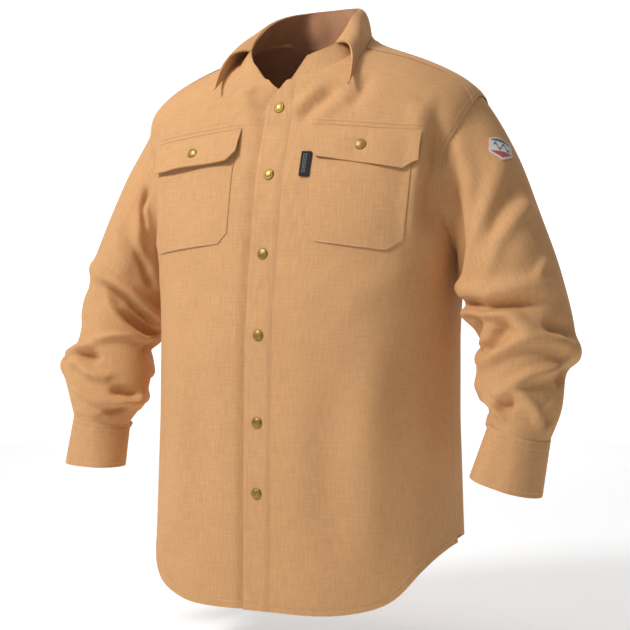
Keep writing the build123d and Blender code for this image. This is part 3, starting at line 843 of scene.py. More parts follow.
def pull(d, rest, share):
    """How far each end of the threads d moves to bring them nearer to their rest length."""
    length = np.linalg.norm(d, axis=2)
    return d * ((length - rest) / np.maximum(length, 1e-6) * share)[..., None]


def evening(p):
    """From each point of a tube part of the way to the middle of its neighbours."""
    out = 0.25 * (np.roll(p, 1, 1) + np.roll(p, -1, 1)) - 0.5 * p
    out[1:-1] += 0.25 * (p[2:] + p[:-2]) - 0.5 * p[1:-1]
    return out


def relax(p, stretch, fixed, steps=320, inner=0.70, outer=1.25):
    """Lets a sleeve of longer cloth settle between its fixed ends, as creases and hollows."""
    start = p.copy()
    columns = p.shape[1]
    middle = start.mean(axis=1, keepdims=True)
    a = start[:, :1] - middle
    b = start[:, columns // 4:columns // 4 + 1] - middle
    la, lb = np.linalg.norm(a, axis=2, keepdims=True), np.linalg.norm(b, axis=2, keepdims=True)
    ua, ub = a / la, b / lb
    round_rest = np.linalg.norm(np.roll(start, -1, 1) - start, axis=2)
    long_rest = np.linalg.norm(start[1:] - start[:-1], axis=2) * 0.5 * (stretch[1:] + stretch[:-1])
    free = ~fixed
    p = p.copy()

    cols = np.arange(columns)
    rows = np.arange(len(p))
    for _ in range(steps):
        for parity in (0, 1):
            i, j = cols[parity::2], (cols[parity::2] + 1) % columns
            move = pull(p[:, j] - p[:, i], round_rest[:, i], 0.4)
            p[:, i] += move
            p[:, j] -= move
            r = rows[parity:-1:2]
            move = pull(p[r + 1] - p[r], long_rest[r], 0.4)
            p[r] += move
            p[r + 1] -= move
            for way in (1, -1):
                slant = np.hypot(long_rest[r], round_rest[r])
                move = pull(np.roll(p[r + 1], way, axis=1) - p[r], slant, 0.20)
                p[r] += move
                p[r + 1] -= np.roll(move, -way, axis=1)
        p += evening(p) * 0.26
        p[..., 2] -= 0.03
        d = p - middle
        along_a, along_b = (d * ua).sum(2, keepdims=True), (d * ub).sum(2, keepdims=True)
        r = np.sqrt((along_a / la) ** 2 + (along_b / lb) ** 2)
        goal = np.clip(r, inner, outer)
        p += (goal / np.maximum(r, 1e-6) - 1) * (along_a * ua + along_b * ub)
        p = np.where(free[..., None], p, start)
    return p


FOLD_LIMIT, FOLD_GAIN = 14.0, 1.3     # crossing folds never add up to more than the limit, in millimetres


def build_sleeve(side):
    """A sleeve: folds from the list where it shows, and relaxed cloth on its far side."""
    base, rows, along = sleeve_base(side)
    surface = Surface(base)
    normals = surface.normals
    middle = base.mean(axis=1, keepdims=True)
    if ((base - middle) * normals).sum() < 0:
        normals = -normals
    heights = fold_field(LEFT_FOLDS if side > 0 else RIGHT_FOLDS, rows, along)
    swell = sum(a * np.sin(TURN[None, :] * m + along[:, None] * k + ph)
                for a, m, k, ph in ((1.6, 3, 0.07, 0.4), (1.2, 5, -0.09, 1.9), (0.8, 4, 0.12, 4.0)))
    bunch = smoothstep((rows - 1.35) / 1.5) * smoothstep((7.1 - rows) / 0.5)
    loose = base + normals * (swell * bunch[:, None] * 1.5)[..., None]
    stretch = 1 + (0.26 * bunch)[:, None] * (1.0 - 0.25 * np.cos(TURN))[None, :]
    fixed = np.zeros(base.shape[:2], bool)
    fixed[:6], fixed[-1:] = True, True
    loose[fixed] = base[fixed]
    loose = doubled(relax(loose[::2, ::2], stretch[::2, ::2], fixed[::2, ::2]))
    front = math.radians(64 if side > 0 else 116)
    shown = smoothstep((np.cos(TURN - front) + 0.28) / 0.35)[None, :, None]
    ends = (smoothstep(rows + 1.9) * smoothstep((7.0 - rows) / 0.3))[:, None]
    heights = FOLD_LIMIT * np.tanh(FOLD_GAIN * heights / FOLD_LIMIT)
    formed = base + normals * (heights * ends)[..., None]
    p = loose * (1 - shown) + formed * shown
    for _ in range(3):
        p = p + evening(p) * 0.35
        p[fixed] = base[fixed]
    out = Surface(p)
    out.flipped = ((p - p.mean(1, keepdims=True)) * out.normals).sum() < 0
    if out.flipped:
        out.normals = -out.normals
    out.rows, out.along = rows, along
    return out


def tube_object(name, points, normals, flipped, thick, uv):
    """A closed sleeve-like sheet from rows of points, with its own smooth normals."""
    rows, cols = points.shape[:2]
    wide = np.concatenate([points, points[:, :1]], axis=1)
    wide_n = np.concatenate([normals, normals[:, :1]], axis=1)
    faces = grid_faces(rows, cols + 1)
    if flipped:
        faces = [tuple(reversed(f)) for f in faces]
    return skin(name, wide.reshape(-1, 3), wide_n.reshape(-1, 3), faces, thick, uv)


def skin(name, points, normals, faces, thick, uv, materials=(None, None)):
    """An outer face and an inner face joined at their rims, shaded by the given normals."""
    count = len(points)
    faces = facing(faces, points, normals)
    edges = {(a, b) for g in faces for a, b in zip(g, g[1:] + g[:1])}
    rim = sorted((a, b) for a, b in edges if (b, a) not in edges)
    back = [tuple(i + count for i in reversed(g)) for g in faces]
    sides = [(b, a, a + count, b + count) for a, b in rim]
    index = [0] * len(faces) + [1] * len(back) + [0] * len(sides)
    # Inner faces default to the darker, redder twill: painted shade.
    mats = [materials[0] or TWILL, materials[1] or PAINTED_SHADE_TWILL]
    o = new_object(name, np.vstack([points, points - normals * thick]), faces + back + sides, mats,
                   np.vstack([uv, uv]), index)
    custom = np.vstack([normals, -normals])
    loops = np.zeros(len(o.data.loops), np.int32)
    o.data.loops.foreach_get("vertex_index", loops)
    per_loop = custom[loops]
    start = (len(faces) + len(back)) * 4 if len(faces[0]) == 4 else sum(map(len, faces + back))
    per_loop[start:] = 0
    o.data.normals_split_custom_set(per_loop.tolist())
    return o


SLEEVES = {1: build_sleeve(1), -1: build_sleeve(-1)}

# ------------------------------------------------------------------ stitch runs and hardware
def run_of(points, normals, lift=0.15, shift=0.0, step=1.2):
    """Points and normals for a stitch row, moved sideways by shift along the surface."""
    d = lengths_along(points)
    keep = np.concatenate([[True], np.diff(d) > 1e-6])
    t = np.arange(0, d[-1], step)
    p, n = rows_at(t, d[keep], points[keep]), rows_at(t, d[keep], normals[keep])
    n /= np.linalg.norm(n, axis=1)[:, None]
    along = np.gradient(p, axis=0)
    along /= np.maximum(np.linalg.norm(along, axis=1), 1e-9)[:, None]
    return p + n * lift + np.cross(n, along) * shift, n


def torso_run(line, out, shift):
    """A stitch row beside a line of (angle, z), on a layer that stands off the torso by out."""
    p, n = torso_at(line[:, 0], line[:, 1], out)
    return run_of(p, n, shift=shift)


def front_run(points, out_of):
    """A stitch row on the front, from (x, z) points and the layer's offset there."""
    p = dense(points, 2.0)
    q, n = torso_at(front_angle(p[:, 0], p[:, 1]), p[:, 1], out_of(p[:, 0], p[:, 1]))
    return run_of(q, n)


def inset(points, distance):
    """An open polyline moved to its left by a distance, with its corners kept sharp."""
    p = np.asarray(points, float)
    d = np.diff(p, axis=0)
    d /= np.linalg.norm(d, axis=1)[:, None]
    n = np.stack([-d[:, 1], d[:, 0]], axis=1)
    out = [p[0] + n[0] * distance]
    for k in range(1, len(p) - 1):
        b = n[k - 1] + n[k]
        out.append(p[k] + b * distance / (b @ n[k]))
    out.append(p[-1] + n[-1] * distance)
    return np.array(out)


def turned(name, outline, spots, material, segments=40):
    """Round metal parts turned from (radius, height) outlines, one at each (point, normal)."""
    outline = np.array(outline, float)
    turn = np.linspace(0, 2 * math.pi, segments, endpoint=False)
    verts, faces, count = [], [], len(outline) * segments
    for k, (point, normal) in enumerate(spots):
        n = np.array(normal) / np.linalg.norm(normal)
        u = np.cross(n, (0, 0, 1))
        u /= np.linalg.norm(u)
        v = np.cross(n, u)
        ring = np.cos(turn)[:, None] * u + np.sin(turn)[:, None] * v
        for radius, height in outline:
            verts.append(np.array(point) + ring * radius + n * height)
        base = k * count
        for r in range(len(outline) - 1):
            for c in range(segments):
                d = (c + 1) % segments
                faces.append((base + r * segments + c, base + r * segments + d,
                              base + (r + 1) * segments + d, base + (r + 1) * segments + c))
        faces.append(tuple(base + c for c in reversed(range(segments))))
        faces.append(tuple(base + count - segments + c for c in range(segments)))
    o = new_object(name, np.vstack(verts), faces, [material])
    edge = o.modifiers.new("edge", "BEVEL")
    edge.width, edge.segments, edge.limit_method = 0.0002, 2, "ANGLE"
    return o


# The four parts of a snap, as (radius, height) from the top down.
CAP = [(0.3, 2.55), (2.2, 2.5), (3.9, 2.25), (4.9, 1.9), (5.2, 1.75), (5.5, 1.85), (6.4, 1.6),
       (7.1, 0.95), (7.4, 0.3), (7.5, 0.0), (7.2, -0.5), (2.0, -0.5), (1.9, -1.6), (0.3, -1.6)]
SOCKET = [(2.4, 0.0), (6.2, 0.0), (6.6, -0.4), (6.4, -1.2), (5.0, -1.5), (3.0, -1.5), (2.6, -1.1),
          (2.4, -0.5)]
STUD = [(0.3, 1.9), (1.8, 1.8), (2.2, 1.2), (1.9, 0.6), (5.6, 0.4), (6.4, 0.0), (6.2, -0.3),
        (0.3, -0.3)]
BACKING = [(0.3, 0.3), (6.6, 0.3), (7.0, 0.0), (6.8, -0.5), (4.0, -0.7), (0.3, -0.7)]

# ------------------------------------------------------------------ torso pieces
# How far each layer's outer face stands off the torso surface.
LINING, PANEL, YOKE, PATCH, UNDER = -1.0, 1.4, 2.5, 3.1, -3.9


def opens(o):
    """A piece of one front, its placing baked into its mesh."""
    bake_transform(o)
    return o


def laid(name, outline, out=0.0, step=5.0, thick=0.9, materials=(None, None), dip=None):
    """A panel cut to an outline of (angle, z), laid on the torso and shaded by its folds."""
    flat, faces = fill(dense(outline * (GRAIN, 1), step), step)
    angle, z = flat[:, 0] / GRAIN, flat[:, 1]
    lift = np.full(len(flat), float(out))
    if dip is not None:
        lift = lift + dip(angle, z)
    points, normals = torso_at(angle, z, lift)
    if dip is None:
        return skin(name, points, normals, faces, thick, flat, materials)
    return cloth_object(name, points, facing(faces, points, normals), thick, flat, materials)


def under_dip(angle, z):
    """The right front sinks beneath the left one near the middle."""
    x = torso_at(angle, z)[0][:, 0]
    return -4.6 * smoothstep((x + 34) / 14) * smoothstep((-60 - z) / 25 + 0.35)


back_panel = laid("back_panel", back_outline(), PANEL, 5.0)
yoke = laid("yoke", yoke_outline(1.6), YOKE, 4.5)
# The yoke lining wears the darker, redder twill on both faces: painted shade.
yoke_lining = laid("yoke_lining", yoke_outline(), LINING, 5.0, 0.8, (PAINTED_SHADE_TWILL, PAINTED_SHADE_TWILL))
left_front = laid("left_front", front_outline(1), PANEL, 4.5)
right_front = laid("right_front", front_outline(-1), PANEL, 4.5, dip=under_dip)


EDGE_X = 19             # half the width of the placket


def placket_outline(left, right, top_points):
    z0 = hem_z(left)
    low = [(x, float(hem_z(x))) for x in np.linspace(right, left, 6)]
    return front_shape([(left, z0)] + top_points + [(right, low[0][1])] + low[:-1])


def placket_dip(angle, z):
    """The placket's inner side is sewn down flat."""
    return placket_out(torso_at(angle, z)[0][:, 0], z) - PATCH


def placket_out(x, z):
    return PATCH - 1.55 * smoothstep((x - 12.5) / 5)


left_placket = laid("left_placket", placket_outline(
    -EDGE_X, EDGE_X, [(-EDGE_X, -102), (-19.5, -91), (-16, -78), (-4, -62), (6, -50), (EDGE_X, -48)]),
    PATCH, 2.2, 1.5, dip=placket_dip)
right_placket = laid("right_placket", placket_outline(
    -44, EDGE_X, [(-44, -58), (-22, -48), (-6, -61), (8, -77), (EDGE_X, -91)]), UNDER, 3.5, 0.9)

pieces = {"torso": [back_panel, yoke, yoke_lining], "left": [left_front, left_placket],
          "right": [right_front, right_placket]}
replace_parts(back_panel, "back_panel")
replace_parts(yoke, "yoke")
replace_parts(yoke_lining, "yoke_lining")
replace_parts(left_front, "left_front_upper", "left_front_lower")
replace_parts(right_front, "right_front_upper", "right_front_lower")
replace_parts(left_placket, "left_placket_upper", "left_placket_lower")
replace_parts(right_placket, "right_placket_upper", "right_placket_lower")

# Pockets, flaps, label. Outlines are (x, z) on the wearer's left, and the right side's are mirrored.
DROP = 12.0             # how much lower a pocket hangs at its outer end
POCKET_IN, POCKET_END, POCKET_TOP, POCKET_LOW = 56, 188, -124, -262
FLAP_IN, FLAP_END, FLAP_TOP, FLAP_LOW = 52, 192, -112, -156
FLAP_SNAP_X, FLAP_SNAP_Z = 122.0, -143.0


def dropped(points, x0, x1):
    """The points lowered in step with their x, from nothing at x0 to the whole drop at x1."""
    return [(x, z - DROP * (x - x0) / (x1 - x0)) for x, z in points]


LEFT_POCKET = dropped([(POCKET_IN, POCKET_TOP), (54, -243), (71, POCKET_LOW), (158, -266), (176, -252),
                       (187, POCKET_TOP)], POCKET_IN, POCKET_END)
LEFT_FLAP = dropped([(FLAP_IN, FLAP_TOP), (FLAP_IN, -143), (64, -155), (176, -164), (190, -154),
                     (FLAP_END, -115)], FLAP_IN, FLAP_END)
RIGHT_POCKET = dropped([(POCKET_IN, POCKET_TOP), (POCKET_IN, -249), (69, POCKET_LOW), (175, POCKET_LOW),
                        (POCKET_END, -249), (POCKET_END, POCKET_TOP)], POCKET_IN, POCKET_END)
RIGHT_FLAP = dropped([(FLAP_IN, FLAP_TOP), (FLAP_IN, -144), (63, FLAP_LOW), (180, FLAP_LOW),
                      (FLAP_END, -144), (FLAP_END, FLAP_TOP)], FLAP_IN, FLAP_END)


def pocket_out(x, z):
    """How far a pocket stands off the torso: it fills out towards its middle."""
    t = np.clip((np.abs(x) - POCKET_IN) / (POCKET_END - POCKET_IN), 0, 1)
    h = np.clip((POCKET_TOP - z) / (POCKET_TOP - POCKET_LOW), 0, 1)
    soft = np.sin(math.pi * t) * np.sin(math.pi * np.clip(h * 0.85, 0, 1)) ** 0.8
    return PANEL + 1.0 + 2.2 * soft


def flap_out(x, z):
    """How far a flap stands off the torso: it curls and waves at its edge and dips at its snap."""
    t = np.clip((np.abs(x) - FLAP_IN) / (FLAP_END - FLAP_IN), 0, 1)
    h = np.clip((FLAP_TOP - DROP * t - z) / (FLAP_TOP - FLAP_LOW), 0, 1)
    left = x.mean() > 0
    curl = 0.6 if left else 5.5
    wave = (0.8 if left else 2.0) * np.sin(t * 9.5 + (0.6 if left else 2.2)) * h ** 2
    snap = 2.6 * np.exp(-((np.abs(x) - FLAP_SNAP_X) ** 2 + (z - FLAP_SNAP_Z) ** 2) / 16 ** 2)
    return PANEL + 2.2 + 3.0 * smoothstep(h * 2.2) + curl * h ** 3 + wave - snap * 0.9


def front_piece(name, points, out_of, thick, side, step=3.0, materials=(None, None)):
    """A piece cut to an outline of (x, z) and laid on the front, mirrored for side -1."""
    p = dense(np.array(points) * (side, 1), step)
    flat, faces = fill(p, step)
    out = out_of(flat[:, 0], flat[:, 1])
    q, n = torso_at(front_angle(flat[:, 0], flat[:, 1]), flat[:, 1], out)
    return cloth_object(name, q, facing(faces, q, n), thick, flat, materials)


def front_spot(x, z, out):
    x, z = np.array([float(x)]), np.array([float(z)])
    p, n = torso_at(front_angle(x, z), z, np.array([float(out)]))
    return p[0], n[0]


for side, word in ((1, "left"), (-1, "right")):
    pocket_line, flap_line = (LEFT_POCKET, LEFT_FLAP) if side > 0 else (RIGHT_POCKET, RIGHT_FLAP)
    pocket = front_piece(f"{word}_pocket", pocket_line, pocket_out, 1.0, side)
    flap = front_piece(f"{word}_pocket_flap", flap_line, flap_out, 1.8, side)
    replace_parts(pocket, f"{word}_pocket")
    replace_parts(flap, f"{word}_pocket_flap")
    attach(pocket, "torso_body")
    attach(flap, f"{word}_flap_body")
    top = inset(flap_line[5:] + flap_line[:1], -1.8)
    second = inset(flap_line[5:] + flap_line[:1], -7.5)
    rest = inset(flap_line, 6.5)
    runs = [front_run(line * (side, 1), flap_out) for line in (top, second)]
    s = stitches(f"{word}_flap_seam_stitching", runs)
    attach(s, "torso_body")
    s = stitches(f"{word}_flap_stitching", [front_run(rest * (side, 1), flap_out)])
    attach(s, f"{word}_flap_body")
    runs = [front_run(inset(pocket_line, 1.8) * (side, 1), pocket_out)]
    s = stitches(f"{word}_pocket_stitching", runs)
    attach(s, "torso_body")
    x, z = np.array([FLAP_SNAP_X * side]), np.array([FLAP_SNAP_Z])
    out = float(flap_out(x, z)[0])
    under = float(pocket_out(x, z)[0]) + 0.2
    cap_spot, socket_spot, stud_spot = [front_spot(x[0], z[0], h) for h in (out, out - 1.9, under)]
    cap = turned(f"{word}_flap_snap_cap", CAP, [cap_spot], BRASS)
    socket = turned(f"{word}_flap_snap_socket", SOCKET, [socket_spot], BRASS)
    stud = turned(f"{word}_pocket_snap_stud", STUD, [stud_spot], BRASS)
    for o, body in ((cap, f"{word}_flap_body"), (socket, f"{word}_flap_body"), (stud, "torso_body")):
        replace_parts(o, same_node(o))
        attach(o, body)
        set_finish(o, "snap_brass")

label_points = [(43.5, -148), (43.5, -180), (58, -181), (58, -149)]
label = front_piece("pocket_tab_label", label_points, lambda x, z: 4.4 + 0 * x, 1.4, 1, 1.5, (LABEL, LABEL))
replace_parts(label, "pocket_tab_label")
marks = stitches("label_marks", [front_run([(x, -151.5), (x, -176)], lambda x, z: 4.5 + 0 * x)
                                 for x in (47.5, 49.5, 51.5)], 2.6, 1.5, 0.28)
marks.data.materials[0] = LABEL_MARK
for o in (label, marks):
    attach(o, "torso_body")

SNAP_Z = [-87, -176, -278, -381, -491, -580]
for part, heights in (("upper", SNAP_Z[:3]), ("lower", SNAP_Z[3:])):
    kinds = [("caps", CAP, PATCH, "left"), ("sockets", SOCKET, 1.3, "left"),
             ("studs", STUD, -2.9, "right"), ("backings", BACKING, -5.2, "right")]
    for kind, outline, out, word in kinds:
        o = turned(f"front_snap_{kind}_{part}", outline, [front_spot(0, z, out) for z in heights], BRASS)
        if part == "upper":
            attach(o, "torso_body")
        else:
            opens(o)
        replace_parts(o, same_node(o))
        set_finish(o, "snap_brass")

# Seams and edges: rows of stitches on the body.
HEM_ROW = 9.0           # from the hem's edge to its row of stitches
torso_runs = []
for side in (1, -1):
    torso_runs += [torso_run(yoke_seam(side), YOKE, side * d) for d in (1.8, 8.0)]
    torso_runs += [torso_run(yoke_armhole(side), YOKE, side * d) for d in (1.6, 8.0)]
    torso_runs += [torso_run(back_armhole(side), PANEL, side * d) for d in (1.6, 8.0)]
ends = [back_armhole(side)[0, 0] for side in (1, -1)]
low = np.stack([np.linspace(*ends, 160), np.full(160, YOKE_BACK_Z)], axis=1)
torso_runs += [torso_run(low, YOKE, -d) for d in (1.8, 8.0)]
outline = back_outline()
below = outline[outline[:, 1] < SIDE_LOW]
torso_runs.append(torso_run(below, PANEL, HEM_ROW))
s = stitches("body_stitching", torso_runs)
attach(s, "torso_body")
for side in (1, -1):
    seam = armhole_line(side, oval_angle(YOKE_FRONT_Y), -oval_angle(SIDE_Y), 90)
    runs = [torso_run(seam, PANEL, -side * d) for d in (1.6, 8.0)]
    seam = side_seam(side, seam[-1, 1], 120)
    runs += [torso_run(seam, PANEL, -side * d) for d in (1.8, 7.5)]
    angles = np.linspace(side_angle(SIDE_Y, SIDE_LOW - 5, side) - (2 * math.pi if side < 0 else 0),
                         front_angle(np.array([-float(side * EDGE_X)]), np.array([-725.0]))[0], 200)
    hem = hem_line(angles)
    runs.append(torso_run(hem, PANEL + (0.2 if side > 0 else 0), -side * HEM_ROW))
    if side > 0:
        for x in (-13, 15.0):
            z = np.linspace(hem_z(x) + 2, -72 if x < 0 else -52, 300)
            runs.append(front_run(np.stack([np.full(300, float(x)), z], axis=1), placket_out))
    s = stitches(f"{'left' if side > 0 else 'right'}_front_stitching", runs)
    opens(s)
for side in (1, -1):
    for o in pieces["left" if side > 0 else "right"]:
        opens(o)
for o in pieces["torso"]:
    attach(o, "torso_body")

# ------------------------------------------------------------------ sleeves and cuffs
SPLIT = 1.5             # the ring number at which the upper sleeve ends
for side, word in ((1, "left"), (-1, "right")):
    sleeve = SLEEVES[side]
    k = int(np.argmax(sleeve.rows > SPLIT))
    spans = [(f"{word}_sleeve_upper", 0, k + 1), (f"{word}_sleeve_lower", k, len(sleeve.rows))]
    for name, first, last in spans:
        cols = np.arange(COLUMNS + 1) / COLUMNS * 2 * math.pi * 62
        uv = np.stack(np.meshgrid(cols, -sleeve.along[first:last]), axis=2).reshape(-1, 2)
        o = tube_object(name, sleeve.points[first:last], sleeve.normals[first:last], sleeve.flipped, 0.9, uv)
        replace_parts(o, name)
        if "upper" in name:
            d = np.array([0.979 * side, 0, -0.203])
            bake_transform(o)
        else:
            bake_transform(o)
    top, low = [ellipse(*r, side) for r in CUFF_RINGS[side]]
    t = np.linspace(0, 1, 26)[:, None, None]
    grid = top * (1 - t) + low * t
    middle = grid.mean(1, keepdims=True)
    spread = grid - middle
    dent = 1 - 0.07 * np.exp(-((TURN - 1.75) / 0.34) ** 2)[None, :, None] * (0.4 + 0.6 * t)
    grid = middle + spread * dent
    cuff = Surface(grid)
    if (spread * cuff.normals).sum() < 0:
        cuff.normals = -cuff.normals
    cols = np.arange(COLUMNS + 1) / COLUMNS * 2 * math.pi * 48
    uv = np.stack(np.meshgrid(cols, -t[:, 0, 0] * 70), axis=2).reshape(-1, 2)
    o = tube_object(f"{word}_cuff", grid, cuff.normals, False, 2.2, uv)
    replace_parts(o, f"{word}_cuff")
    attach(o, f"{word}_forearm_body")
    wrap = np.arange(COLUMNS + 1) % COLUMNS
    runs = [run_of(grid[r][wrap], cuff.normals[r][wrap]) for r in (1, 4, 23)]
    s = stitches(f"{word}_cuff_stitching", runs)
    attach(s, f"{word}_forearm_body")
    spot = (grid[13, 3 * COLUMNS // 4 + 4], cuff.normals[13, 3 * COLUMNS // 4 + 4])
    o = turned(f"{word}_cuff_snap", CAP, [spot], BRASS)
    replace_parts(o, f"{word}_cuff_snap")
    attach(o, f"{word}_forearm_body")
    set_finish(o, "snap_brass")

# Badge: a generic shield on the left sleeve, upright and sewn flat.
sleeve = SLEEVES[1]
BADGE_PLACE = np.array([283.0, -36.0, -141.0])
BADGE_LEVEL = (0.885, 0.465, 0.0)     # the level line that the badge is sewn along
gap = np.linalg.norm(sleeve.points - BADGE_PLACE, axis=2)
row0, col0 = np.unravel_index(np.argmin(gap[:90]), gap[:90].shape)
centre0, out0 = sleeve.points[row0, col0], sleeve.normals[row0, col0]
up = np.cross(out0, BADGE_LEVEL)
up *= np.sign(up[2])
up /= np.linalg.norm(up)
across = np.cross(up, out0)
SHIELD = [(-16, 12), (-8, 15), (0, 16.5), (8, 15), (16, 12), (16.5, -8), (9, -14), (0, -20),
          (-9, -14), (-16.5, -8)]
flat, faces = fill(dense(SHIELD, 0.9), 0.9)
patch = centre0 + flat[:, :1] * across + flat[:, 1:] * up
near_points, near_normals = sleeve.points[gap < 45], sleeve.normals[gap < 45]
p, n = patch.copy(), np.empty_like(patch)
for i, q in enumerate(patch):
    d = near_points - q
    side_off = d - (d @ out0)[:, None] * out0
    w = np.exp(-(side_off ** 2).sum(1) / 2.5 ** 2)
    w /= w.sum()
    p[i] = q + out0 * (w @ (d @ out0))
    n[i] = w @ near_normals
n = 0.5 * n + 0.5 * out0
n /= np.linalg.norm(n, axis=1, keepdims=True)
faces = facing(faces, p, n)
badge = cloth_object("sleeve_badge", p + n * 2.0, faces, 1.8, flat, (BADGE_EDGE, BADGE_EDGE))
badge.data.materials.clear()
for m in (BADGE_EDGE, BADGE, BADGE_RED, LABEL_MARK):
    badge.data.materials.append(m)
centre = flat[np.array(faces)].mean(axis=1)
ring = dense(SHIELD + SHIELD[:1], 0.5)
edge_gap = np.array([np.min(np.linalg.norm(ring - c, axis=1)) for c in centre])
index = np.where(edge_gap < 2.2, 0, np.where(centre[:, 1] > 9.0, 1, np.where(centre[:, 1] < -7, 2, 3)))
mark = (np.abs(centre[:, 1] - 1 - 4.5 * np.sin(centre[:, 0] * 0.55)) < 1.9) & (np.abs(centre[:, 0]) < 11)
index = np.where(mark & (index == 3), 1, index)
total = np.zeros(len(badge.data.polygons), np.int32)
total[:len(index)] = index
badge.data.polygons.foreach_set("material_index", total)
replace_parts(badge, "sleeve_badge")
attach(badge, "left_sleeve_upper_body")

# ------------------------------------------------------------------ collar
# One half, from the middle of the back to where the leaf starts at the front: fold, control point
# and edge of the leaf. The band runs on past the leaf to its own front end.
FOLD = [(0, 65, 72.5), (32, 55, 70), (54, 28, 62), (62, -9, 46), (66, -44, 20), (63, -66, -1)]
LIFT = [(0, 79, 72), (42, 68, 70), (63, 36, 62), (74, -4, 47), (88, -42, 30), (101, -74, 8)]
EDGE = [(0, 80, 26), (40, 70, 25), (67, 38, 22), (82, 0, 15), (94, -42, -8), (99, -104, -62)]
BAND_LEFT = [(48, -77, -10), (30, -83, -17)]
BAND_RIGHT = [(57, -77, -12), (50, -85, -22)]


def both_sides(left, right, count=181):
    """A smooth curve from the right front round the back of the neck to the left front."""
    left, right = np.array(left, float), np.array(right, float)
    return spline(np.vstack([right[::-1] * (-1, 1, 1), left[1:]]), count)


def cloth_grid(name, grid, out, thick, width, height, materials):
    """An open grid of points as cloth whose outer face looks away from the neck."""
    surface = Surface(grid, closed=False)
    if surface.normals[grid.shape[0] // 2, grid.shape[1] // 2, 1] < 0:
        surface.normals = -surface.normals
    rows, cols = grid.shape[:2]
    faces = grid_faces(rows, cols)
    if (vertex_normals(grid.reshape(-1, 3), faces) * surface.normals.reshape(-1, 3)).sum() < 0:
        faces = [tuple(reversed(f)) for f in faces]
    uv_grid = np.meshgrid(np.linspace(-width / 2, width / 2, cols), np.linspace(0, height, rows))
    uv = np.stack(uv_grid, axis=2)
    points = (grid + surface.normals * out).reshape(-1, 3)
    return cloth_object(name, points, faces, thick, uv.reshape(-1, 2), materials), surface


right_edge = EDGE[:-1] + [(99, -103, -56)]
fold, lift, edge = both_sides(FOLD, FOLD), both_sides(LIFT, LIFT), both_sides(EDGE, right_edge)
t = np.linspace(0, 1, 34)[:, None, None]
leaf = (1 - t) ** 2 * fold + 2 * t * (1 - t) * lift + t ** 2 * edge
across = np.linspace(-1, 1, leaf.shape[1])
leaf_surface = Surface(leaf, closed=False)
ripple = 0.8 * np.sin(across * 19)[None, :] * np.sin(np.linspace(0, math.pi, 34))[:, None]
leaf = leaf + leaf_surface.normals * ripple[..., None]
collar, leaf_surface = cloth_grid("upper_collar", leaf, 0.8, 2.4, 520, 60, (TWILL, TWILL))
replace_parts(collar, "upper_collar", "collar_interlining", "under_collar")
left_neck = NECK_KEYS[:4] + [(77, -38, -6), (68, -64, -24), (42, -80, -40), (10, -86, -48)]
right_neck = NECK_KEYS[:4] + [(77, -38, -6), (70, -62, -22), (52, -76, -35), (24, -84, -46)]
low = both_sides(left_neck, right_neck)
low = on_skin(low - (0, 0, 1.5), PANEL - 0.6)
high = both_sides(FOLD + BAND_LEFT, FOLD + BAND_RIGHT)
t = np.linspace(0, 1, 20)[:, None, None]
stand = low * (1 - t) + high * t
columns = np.arange(stand.shape[1])[None, :]
rows = np.arange(20)[:, None]
waves = 2.2 + 1.3 * np.sin(columns * 0.33) + 0.9 * np.sin(columns * 0.61 + rows * 0.25)
bulge = np.sin(math.pi * rows / 19) * waves
bulge = bulge * smoothstep((60 - np.abs(columns - 90)) / 30)
normal = Surface(stand, closed=False).normals
normal = normal if normal[9, 90, 1] > 0 else -normal
stand = stand - normal * bulge[..., None]
# The stand's inner face wears the darker, redder twill: painted shade.
collar_stand, _ = cloth_grid("collar_stand", stand, 0.4, 2.2, 480, 42, (TWILL, PAINTED_SHADE_TWILL))
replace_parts(collar_stand, "collar_stand_outer", "collar_stand_interlining", "collar_stand_inner")
end = leaf.shape[1] - 1
n = leaf_surface.normals
runs = [run_of(leaf[30, 4:end - 3], n[30, 4:end - 3], 1.0)]
for c in (4, end - 4):
    runs.append(run_of(leaf[2:31, c], n[2:31, c], 1.0))
collar_stitching = stitches("collar_stitching", runs)
for o in (collar, collar_stand, collar_stitching):
    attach(o, "torso_body")

# ------------------------------------------------------------------ slots and sheets
SLOTS = {"yoke_lining": "twill_inside", "pocket_tab_label": "label_black", "sleeve_badge": "badge"}
for o in list(bpy.data.objects):
    if o.type == "MESH" and "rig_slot" not in o and "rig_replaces" in o:
        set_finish(o, SLOTS.get(same_node(o), "twill"))
    elif o.type == "MESH" and "stitching" in o.name:
        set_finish(o, "twill")


